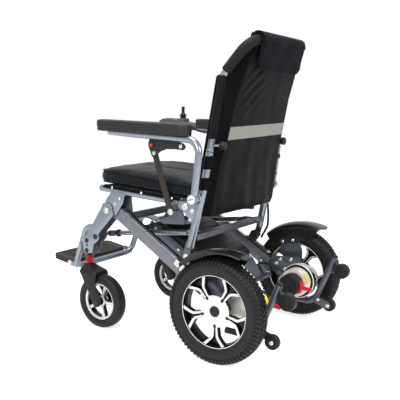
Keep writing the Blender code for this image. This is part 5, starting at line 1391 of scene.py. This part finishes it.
def makeBackTrim():
    # The reflective strip and the seam lie on the rear face; the piping follows its edges
    half = backCloth["stripHalf"]
    x = np.linspace(-half, half, 90)
    rise = backCloth["stripTilt"] * (half - x) * 0.9
    rings = []
    for level, out in ((backCloth["stripLow"], 0.0011), (backCloth["stripLow"], 0.0018),
                       (backCloth["stripHigh"], 0.0018), (backCloth["stripHigh"], 0.0011)):
        z = level + rise
        rings.append(np.stack([x, rearFace(x, z) + out, z], 1))
    band = skinOf(np.stack(rings, 1))
    strip = addPiece("reflective_strip", [band], "reflective", "back", sharp=60)
    edges = []
    for side in (1, -1):
        z = np.linspace(0.416, 0.89, 90)
        y, wide = rearSheet(z)
        edges.append(pipe(np.stack([side * (wide + 0.0006), y - 0.0002, z], 1), 0.0017, 12))
    x = np.linspace(-0.198, 0.198, 80)
    z = np.full(80, 0.4155)
    edges.append(pipe(np.stack([x, rearFace(x, z) + 0.0012, z], 1), 0.0016, 12))
    x = np.linspace(-0.19, 0.19, 120)
    z = 0.474 - 0.055 * (x - 0.05)
    edges.append(pipe(np.stack([x, rearFace(x, z) + 0.0014, z], 1), 0.0008, 8))
    addPiece("back_cloth_piping", edges, "piping", "back")


def makeStraps():
    # Webbing wrapped round the post, above and below a bare gap
    bands = []
    for low, high in ((0.555, 0.594), (0.493, 0.53)):
        corners = ((low, 0.0128), (low, 0.0147), (high, 0.0147), (high, 0.0128))
        bands.append(skinOf([postRing(z, r) for z, r in corners], True))
    wraps = addPair("post_strap", bands, "webbing", "back")


def makeHeadPad():
    # Rings along X of one thin section that hangs behind the bar and folds forward over it
    rear = [(0.0535, 0.8262), (0.056, 0.825), (0.059, 0.833), (0.0605, 0.845), (0.066, 0.875), (0.073, 0.9),
            (0.0745, 0.915), (0.071, 0.929), (0.061, 0.9375), (0.048, 0.9395), (0.036, 0.934), (0.029, 0.923),
            (0.0265, 0.913)]
    inner = [(0.03, 0.9125), (0.0336, 0.9142), (0.0385, 0.9262), (0.0506, 0.9312), (0.0627, 0.9262),
             (0.0676, 0.9142), (0.0665, 0.9), (0.059, 0.875), (0.0535, 0.845), (0.051, 0.829)]
    outer, inner = smoothed(rear, 4), smoothed(inner, 4)
    section = np.vstack([outer, inner]) + (0.0006, 0.0133)
    share = np.concatenate([np.ones(len(outer)), np.zeros(len(inner))])
    half = 0.141
    y, z = section.T
    rings = []
    for x in half * np.sin(np.linspace(-math.pi / 2, math.pi / 2, 61)):
        u = abs(x) / half
        middle = 0.0541 + 0.162 * (z - 0.8393)
        close = 1.0 - 0.45 * u**12
        thin = np.where(z < 0.918, middle + (y - middle) * close, y)
        rise = 0.022 * u**7 * np.clip((0.908 - z) / 0.07, 0, 1)
        rise = np.where((y < 0.0355) & (z > 0.918), 0.006 * u**8, rise)
        soft = 0.0007 * (np.sin(x * 58 + z * 40) + np.sin(x * 23 - z * 90 + 1)) * share
        soft = soft * (1 - u**6) * (z < 0.948)
        rings.append(np.stack([np.full(len(y), x), thin + soft, z + rise], 1))
    pad = addPiece("head_pad_cover", [skinOf(rings)], "padCloth", "back", ["head_pad"], sharp=70)
    low = [(x, 0.0559, 0.8389 + 0.022 * (abs(x) / half) ** 7) for x in np.linspace(-0.1398, 0.1398, 80)]
    side = smoothed([(0.1408, 0.0566, 0.8693), (0.1411, 0.0616, 0.8933), (0.1412, 0.0686, 0.9183),
                     (0.1412, 0.0686, 0.9363)], 5)
    path = np.vstack([side[::-1] * (-1, 1, 1), low, side])
    addPiece("head_pad_piping", [pipe(path, 0.0016, 12)], "piping", "back")


makeBackCloth()
makeSleeves()
makeBackTrim()
makeStraps()
makeHeadPad()
print("back cloth done")


# Armrests

armrest = {"x": 0.256, "radius": 0.011, "button": (-0.255, 0.624), "padRear": -0.106, "padHalf": 0.0275,
           "padFront": {"L": -0.452, "R": -0.416}}


def padRings(front):
    # The tube lies in the flat underside; above it a lip, round sides and a domed top, as scale and lift
    rear, wide = armrest["padRear"], armrest["padHalf"]
    middle, half = (front + rear) / 2, (rear - front) / 2
    base = roundedOutline(rectangle(wide, half), 0.024, 12)
    steps = smoothed([(0.84, -0.009), (0.92, -0.0084), (0.955, -0.006), (0.965, -0.001), (0.97, 0.003),
                      (0.992, 0.0048), (1.0, 0.009), (1.0, 0.016), (0.965, 0.0218), (0.84, 0.025),
                      (0.55, 0.0265), (0.2, 0.027)], 3)
    rings = []
    for scale, lift in steps:
        shrink = 1 - (1 - scale) * wide / half
        y = middle + base[:, 1] * shrink
        rings.append(np.stack([armrest["x"] + base[:, 0] * scale, y, 0.6616 - 0.043 * (y - rear) + lift], 1))
    return skinOf(rings)


def makeArmrests():
    g, x = armrestPin, armrest["x"]
    path = roundedPath([(x, -0.41, 0.6635), (x, -0.07, 0.642), (x, g[0] + 0.003, g[1] + 0.012)], 0.042, 14)
    eye = [(x - 0.0105, 0.0072), (x - 0.0105, 0.0165), (x + 0.0105, 0.0165), (x + 0.0105, 0.0072)]
    tube = [pipe(path, armrest["radius"], 36), softLathe(eye, (0.0, *g), "X", 56, True)]
    addPair("armrest_bar", tube, "frame", "armrest_*", ["armrest_tube_*"])
    head = softLathe([(0.264, 0.006), (0.2672, 0.013), (0.27, 0.013), (0.2718, 0.0112), (0.2718, 0.002)],
                     (0.0, *g), "X", 48)
    pivot = [rodX(g, 0.229, 0.268, 0.006), rodX(g, 0.2299, 0.2325, 0.01), head]
    addPair("armrest_pivot_pin", pivot, "motorSilver", "armrest_carrier_*", ["armrest_pivot_*"])
    slot = [(g[0] - 0.0095, g[1] - 0.0022), (g[0] + 0.0095, g[1] + 0.001), (g[0] + 0.0095, g[1] + 0.0034),
            (g[0] - 0.0095, g[1] + 0.0002)]
    slot = plate(slot, 0.271, 0.27195, 0.0002, 0.0004)
    addPair("armrest_pivot_slot", [slot], "blackSteel", "armrest_carrier_*")
    strut = [plate(barOutline(strutFoot, strutTop, 0.0105, 14), 0.2365, 0.24, 0.0007, 0)]
    addPair("armrest_strut_bar", strut, "strut", "strut_*", ["armrest_strut_*"])


def makeBrackets():
    # The plate between tube and strut with its button, and the pad on top of the tube
    bracket = [(-0.264, 0.674), (-0.262, 0.644), (-0.268, 0.63), (-0.267, 0.617), (-0.26, 0.603),
               (-0.256, 0.59), (-0.246, 0.586), (-0.238, 0.592), (-0.224, 0.604), (-0.2, 0.6125),
               (-0.17, 0.613), (-0.138, 0.611), (-0.129, 0.62), (-0.137, 0.63), (-0.156, 0.636),
               (-0.16, 0.674)]
    b = armrest["button"]
    cheek = [plate(bracket, 0.2404, 0.2438, 0.0007, 0.005),
             softLathe([(0.243, 0.0062), (0.243, 0.0105), (0.247, 0.0105), (0.2478, 0.0092),
                        (0.2478, 0.0062)], (0.0, *b), "X", 40, True)]
    addPair("armrest_bracket", cheek, "bracket", "armrest_*")
    heads = bolts(0.2436, [(-0.148, 0.6225), strutTop], 0.0046, 0.0028)
    addPair("armrest_bracket_bolts", heads, "zinc", "armrest_*")
    for tag in "LR":
        pad = padRings(armrest["padFront"][tag])
        skin = addPiece(f"armrest_pad_skin_{tag}", [pad if tag == "L" else mirrorX(pad)], "foam",
                        f"armrest_{tag}", [f"armrest_pad_{tag}"], sharp=60)
    button = softLathe([(0.244, 0.001), (0.244, 0.0054), (0.249, 0.0054), (0.2502, 0.0042), (0.2503, 0.0006)],
                       (0.0, *b), "X", 32)
    addPair("armrest_button_cap", [button], "orange", "button_*", ["release_button_*"])


makeArmrests()
makeBrackets()
print("armrests done")


# Drive control and the leads

control = {"x": -0.256, "y": -0.48}


def makeControl():
    x, y = control["x"], control["y"]
    side = [(-0.576, 0.676), (-0.56, 0.666), (-0.47, 0.656), (-0.428, 0.659), (-0.424, 0.67), (-0.436, 0.685),
            (-0.52, 0.703), (-0.56, 0.702), (-0.577, 0.694)]
    collar = [(0.69, 0.002), (0.69, 0.0235), (0.701, 0.0232), (0.7025, 0.0205), (0.7025, 0.002)]
    shapes = [plate(side, x - 0.03, x + 0.03, 0.0055, 0.008),
              pipe([(x, -0.44, 0.6655), (x, -0.4105, 0.6636)], 0.0085, 28),
              softLathe(collar, (x, y, 0.0), "Z", 56)]
    addPiece("control_case", shapes, "case", "armrest_R", ["controller_housing"])
    # the belt where both halves of the case meet, and the blank key pad on the slope behind the stick
    belt = plate([(-0.5766, 0.686), (-0.5766, 0.6874), (-0.433, 0.6724), (-0.433, 0.671)], x - 0.0303,
                 x + 0.0303, 0.0003, 0.0003)
    z = 0.7033
    keys = [block((x - 0.018, middle - 0.0045, z - 0.003), (x + 0.018, middle + 0.0045, z + 0.0006),
                  0.0004, 0.0015) for middle in (-0.535, -0.549)]
    addPiece("control_trim", [belt] + keys, "bracket", "armrest_R")
    folds = [(0.6985, 0.002), (0.6985, 0.0118), (0.7028, 0.0122), (0.7052, 0.0122), (0.7062, 0.0106),
             (0.7076, 0.0106), (0.7088, 0.0132), (0.7104, 0.0132), (0.7116, 0.0106), (0.7134, 0.0106),
             (0.7142, 0.015), (0.7156, 0.0152), (0.7196, 0.0094), (0.725, 0.0064), (0.725, 0.002)]
    bellows = addPiece("joystick_bellows", [softLathe(folds, (x, y, 0.0), "Z", 48, corner=0.0007)], "boot",
                       None, ["joystick_boot"])
    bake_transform(bellows)
    stick = [(0.724, 0.001), (0.724, 0.0054), (0.73, 0.0058), (0.74, 0.0064), (0.7452, 0.0062),
             (0.7474, 0.0044), (0.748, 0.002), (0.748, 0.0006)]
    addPiece("joystick_knob", [softLathe(stick, (x, y, 0.0), "Z", 48, corner=0.0015)], "nylon", "stick",
             ["joystick"])


def makeLeads():
    # Routes given: under the armrest tube and down its front; down the inside of the right post
    x = control["x"]
    along = [(x + 0.012, -0.4235, 0.664), (x + 0.013, -0.405, 0.656), (x + 0.006, -0.37, 0.648)]
    straight = [(-0.3, 0.642), (-0.2, 0.635), (-0.125, 0.629), (-0.098, 0.61), (-0.094, 0.57), (-0.101, 0.52),
                (-0.112, 0.496)]
    along += [(x + 0.003, *place) for place in straight]
    addPiece("control_lead", [pipe(smoothed(along, 8), 0.0025, 16)], "lead", "armrest_R",
             ["controller_cable"])
    clip = softLathe([(-0.007, 0.0112), (-0.007, 0.0135), (0.007, 0.0135), (0.007, 0.0112)], (0, 0, 0), "Z",
                     40, True)
    places = [np.array([x, -0.0795, 0.57]), np.array([x, -0.0905, 0.512])]
    bands = [[clip[0] + p, clip[1], clip[2]] for p in places]
    addPiece("lead_clips", bands, "nylon", "armrest_R")
    drop = [(-0.106, 0.448), (-0.103, 0.41), (-0.099, 0.368), (-0.101, 0.323), (-0.113, 0.298),
            (-0.127, 0.274)]
    drop = [(-0.235, *place) for place in drop]
    addPiece("frame_lead", [pipe(smoothed(drop, 8), 0.004, 20)], "lead", "back", ["frame_cable"])


makeControl()
makeLeads()
print("control done")


# Rods of the fold linkage


def makeLinks():
    x = 0.157
    front, rear = np.array(linkFront), np.array(linkRear)
    ahead = (rear - front) / np.linalg.norm(rear - front)
    p, q, ball = front + ahead * 0.014, rear - ahead * 0.028, front + ahead * 0.036
    rod = pipe([(x, *p), (x, *(ball + ahead * 0.012)), (x, *q)], [0.0062, 0.0085, 0.0088], 32)
    ends = [plate(barOutline(front, p + ahead * 0.004, 0.01), 0.15, 0.164, 0.0008, 0),
            plate(barOutline(q - ahead * 0.004, rear, 0.0085), 0.1544, 0.1596, 0.0006, 0)]
    addPair("link_rod", [rod] + ends, "frame", "link_*", ["lower_link_*"])
    # a ball of rings: place - radius cos t, ring radius sin t
    radius = 0.0125
    t = np.linspace(0.12, math.pi - 0.12, 14)
    path = [(x, *(ball - ahead * radius * math.cos(a))) for a in t]
    turn = np.arange(32) * math.pi / 16
    circle = np.stack([np.cos(turn), np.sin(turn)], 1)
    knob = sweep(np.array(path), (radius * np.sin(t) + 0.0006)[:, None, None] * circle)
    addPair("link_ball", [knob], "nylon", "link_*")


makeLinks()
print("links done")


# Seat cloth and cushion

cushion = {"halfWide": 0.205, "front": -0.506, "rear": -0.116, "base": 0.0145, "corner": 0.036,
           "channels": 0.068, "voxel": 0.0055, "pressure": 4.0, "travel": 0.01, "frames": 20}


def makeSeatSling():
    # One section at each place along the tubes: cloth over the tube's top and a short way down its outer side
    top = [(0.0, 0.008), (0.05, 0.0084), (0.1, 0.0096), (0.15, 0.0113), (0.19, 0.0128), (0.208, 0.0135),
           (0.218, 0.0141), (0.225, 0.014), (0.229, 0.0129), (0.2316, 0.0106), (0.2325, 0.008),
           (0.2325, 0.006)]
    under = [(0.2301, 0.006), (0.23, 0.008), (0.229, 0.01), (0.2262, 0.0112), (0.218, 0.0115),
             (0.205, 0.0111), (0.15, 0.0093), (0.1, 0.0073), (0.0, 0.0058)]
    half = np.vstack([top, under])
    ring = np.vstack([half, [(-a, b) for a, b in half[-2:0:-1]]])
    rings = []
    for y in np.linspace(-0.4645, -0.1645, 34):
        ripple = 0.0006 * np.sin(y * 90) * (np.abs(ring[:, 0]) < 0.19)
        rings.append(np.stack([ring[:, 0], np.full(len(ring), y), seatZ(y) + ring[:, 1] + ripple], 1))
    cloth = addPiece("seat_cloth", [skinOf(rings)], "backCloth", "seat", ["seat_sling"], sharp=60)
    rivets = bothSides([cap((0.2322, y, seatZ(y) + 0.0092), 0.0042, 0.0024) for y in (-0.426, -0.307, -0.19)])
    addPiece("seat_cloth_rivets", rivets, "zinc", "seat")


def cushionLow(y):
    # Height of the underside, which lies on the seat cloth
    return seatZ(y) + cushion["base"]


def cushionSpan():
    # The middle of the length and half of it
    return (cushion["front"] + cushion["rear"]) / 2, (cushion["rear"] - cushion["front"]) / 2


def cushionSeam(y):
    # Height of the upper seam over the seat cloth: 41 mm in front, 31 mm at the rear
    return 0.041 - 0.01 * (y - cushion["front"]) / (cushion["rear"] - cushion["front"])


def cushionRings(shrink):
    # Each ring is the outline at a scale: underside, side, and a crown rising by 20 mm (1 - u^3) (1 - v^3)
    middle, half = cushionSpan()
    wide, deep = cushion["halfWide"] - shrink, half - shrink
    base = roundedOutline(rectangle(wide, deep), cushion["corner"] - shrink, 10)
    base = divided(np.vstack([base, base[:1]]), 0.012)
    rings = []

    def addRing(scale, lift, share, crown):
        x, y = base[:, 0] * scale, middle + base[:, 1] * scale
        u, v = np.abs(x) / wide, np.abs(y - middle) / deep
        seam = cushionSeam(y) - shrink
        z = cushionLow(y) + shrink * 0.5 + lift + seam * share + crown * (1 - u**3) * (1 - v**3)
        rings.append(np.stack([x, y, z], 1))

    for scale, lift in ((0.9, 0.0), (0.965, 0.001), (0.985, 0.006)):
        addRing(scale, lift, 0.0, 0.0)
    for scale, share in ((1.0, 0.45), (0.99, 0.93), (0.975, 1.0)):
        addRing(scale, 0.0, share, 0.0)
    for scale in (0.93, 0.8, 0.64, 0.46, 0.27, 0.1):
        addRing(scale, 0.0, 1.0, 0.02)
    return rings


def makeCushion():
    # Blown up by cloth pressure from a smaller copy, then the seams and channels are pressed in
    c = cushion
    piece = addPiece("seat_cushion_cover", [skinOf(cushionRings(0.004))], "cushionCloth", "seat",
                     ["seat_cushion"], sharp=80)
    inflate(piece, c)
    mesh = piece.data
    points = np.empty(len(mesh.vertices) * 3)
    mesh.vertices.foreach_get("co", points)
    points = points.reshape(-1, 3)
    middle, half = cushionSpan()
    # the pressure rounds the cover and draws its sides in, so the outline is brought back
    points[:, 0] *= (c["halfWide"] + 0.001) / np.abs(points[:, 0]).max()
    away = points[:, 1] - axleY - middle
    points[:, 1] = axleY + middle + away * (half + 0.001) / np.abs(away).max()
    y = points[:, 1] - axleY
    low = cushionLow(y)
    top = low + cushionSeam(y)
    u, v = points[:, 0] / c["halfWide"], (y - middle) / half
    over = np.clip((points[:, 2] - top) / 0.006, 0, 1)
    press = sum(np.exp(-(((points[:, 0] - s * c["channels"]) / 0.007) ** 2)) for s in (1, -1))
    press = press * (1 - np.clip(np.abs(v), 0, 1) ** 8)
    hump = 0.004 * np.exp(-(((y + 0.215) / 0.05) ** 2)) * (1 - np.clip(np.abs(u), 0, 1) ** 4)
    wrinkle = 0.0007 * np.sin(points[:, 0] * 70 + 9 * np.sin(y * 20)) * np.sin(y * 55 + points[:, 0] * 14)
    points[:, 2] += over * (hump + wrinkle - 0.0055 * press)
    side = 1 - over
    pull = 0.003 * np.exp(-(((points[:, 2] - top) / 0.0035) ** 2)) * side
    points[:, 0] -= pull * np.sign(u) * (np.abs(u) > 0.9)
    points[:, 1] -= pull * np.sign(v) * (np.abs(v) > 0.9)
    # nothing goes below the seat cloth
    points[:, 2] = np.maximum(points[:, 2], low - 0.0001)
    mesh.vertices.foreach_set("co", points.ravel())
    mesh.update()
    for part in (piece, cushionTrim(mesh), *cushionZip()):
        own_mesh(part)


def inflate(piece, c):
    # Even faces first, then cloth under pressure for a few frames; no point moves further than the travel
    bpy.context.view_layer.objects.active = piece
    remesh = piece.modifiers.new("even_faces", "REMESH")
    remesh.mode = "VOXEL"
    remesh.voxel_size = c["voxel"]
    depsgraph = bpy.context.evaluated_depsgraph_get()
    even = bpy.data.meshes.new_from_object(piece.evaluated_get(depsgraph))
    piece.modifiers.clear()
    piece.data = even
    before = np.empty(len(even.vertices) * 3)
    even.vertices.foreach_get("co", before)
    cloth = piece.modifiers.new("pressure", "CLOTH")
    cloth.settings.use_pressure = True
    cloth.settings.uniform_pressure_force = c["pressure"]
    cloth.settings.effector_weights.gravity = 0.0
    cloth.settings.quality = 5
    cloth.point_cache.frame_start, cloth.point_cache.frame_end = 1, c["frames"]
    for frameNumber in range(1, c["frames"] + 1):
        scene.frame_set(frameNumber)
    depsgraph = bpy.context.evaluated_depsgraph_get()
    blown = piece.evaluated_get(depsgraph).to_mesh()
    after = np.empty(len(blown.vertices) * 3)
    blown.vertices.foreach_get("co", after)
    piece.evaluated_get(depsgraph).to_mesh_clear()
    piece.modifiers.clear()
    scene.frame_set(1)
    move = (after - before).reshape(-1, 3)
    long = np.linalg.norm(move, axis=1)
    move *= np.minimum(1.0, c["travel"] / np.maximum(long, 1e-9))[:, None]
    even.vertices.foreach_set("co", (before.reshape(-1, 3) + move).ravel())
    even.update()
    smoother = piece.modifiers.new("smoother", "SUBSURF")
    smoother.levels = smoother.render_levels = 1
    even.shade_smooth()
    print("cushion blown:", len(even.vertices), "points, most", round(float(long.max()) * 1000, 1), "mm")


def seamPath(height):
    # The welt runs round the cushion at the upper or lower seam
    middle, half = cushionSpan()
    grow = 0.0012
    base = roundedOutline(rectangle(cushion["halfWide"] + grow, half + grow), cushion["corner"], 12)
    y = middle + base[:, 1]
    z = cushionLow(y) + np.where(height > 0.5, cushionSeam(y) * height, 0.005)
    path = np.stack([base[:, 0], y, z], 1)
    return np.vstack([path, path[:2]])


def laidOn(path, mesh):
    # Each point goes to the nearest place on the cover; neighbours are averaged for a smooth run
    tree = BVHTree.FromPolygons([v.co[:] for v in mesh.vertices], [p.vertices[:] for p in mesh.polygons])
    out = []
    for x, y, z in divided(path[:-1], 0.008):
        place, normal, _, _ = tree.find_nearest((x, y + axleY, z))
        out.append((place.x + normal.x * 0.0006, place.y - axleY + normal.y * 0.0006, z))
    out = np.array(out)
    for _ in range(3):
        out = (np.roll(out, 1, 0) + out + np.roll(out, -1, 0)) / 3
    return np.vstack([out, out[:2]])


def cushionTrim(mesh):
    welts = [pipe(laidOn(seamPath(height), mesh), radius, 12)
             for height, radius in ((1.0, 0.0021), (0.0, 0.0019))]
    return addPiece("cushion_welts", welts, "piping", "seat")


def cushionZip():
    # Along the rear side, halfway up: a tape and the row of teeth on it
    y = cushion["rear"] + 0.006
    z = cushionLow(cushion["rear"]) + 0.014
    tape = block((-0.165, y - 0.002, z - 0.006), (0.165, y, z + 0.006), 0.0004, 0.0006)
    teeth = block((-0.163, y - 0.0005, z - 0.0016), (0.163, y + 0.001, z + 0.0016), 0.0003, 0.0003)
    return [addPiece("cushion_zip_tape", [tape], "webbing", "seat"),
            addPiece("cushion_zip_teeth", [teeth], "blackSteel", "seat")]


makeSeatSling()
makeCushion()
print("seat done")
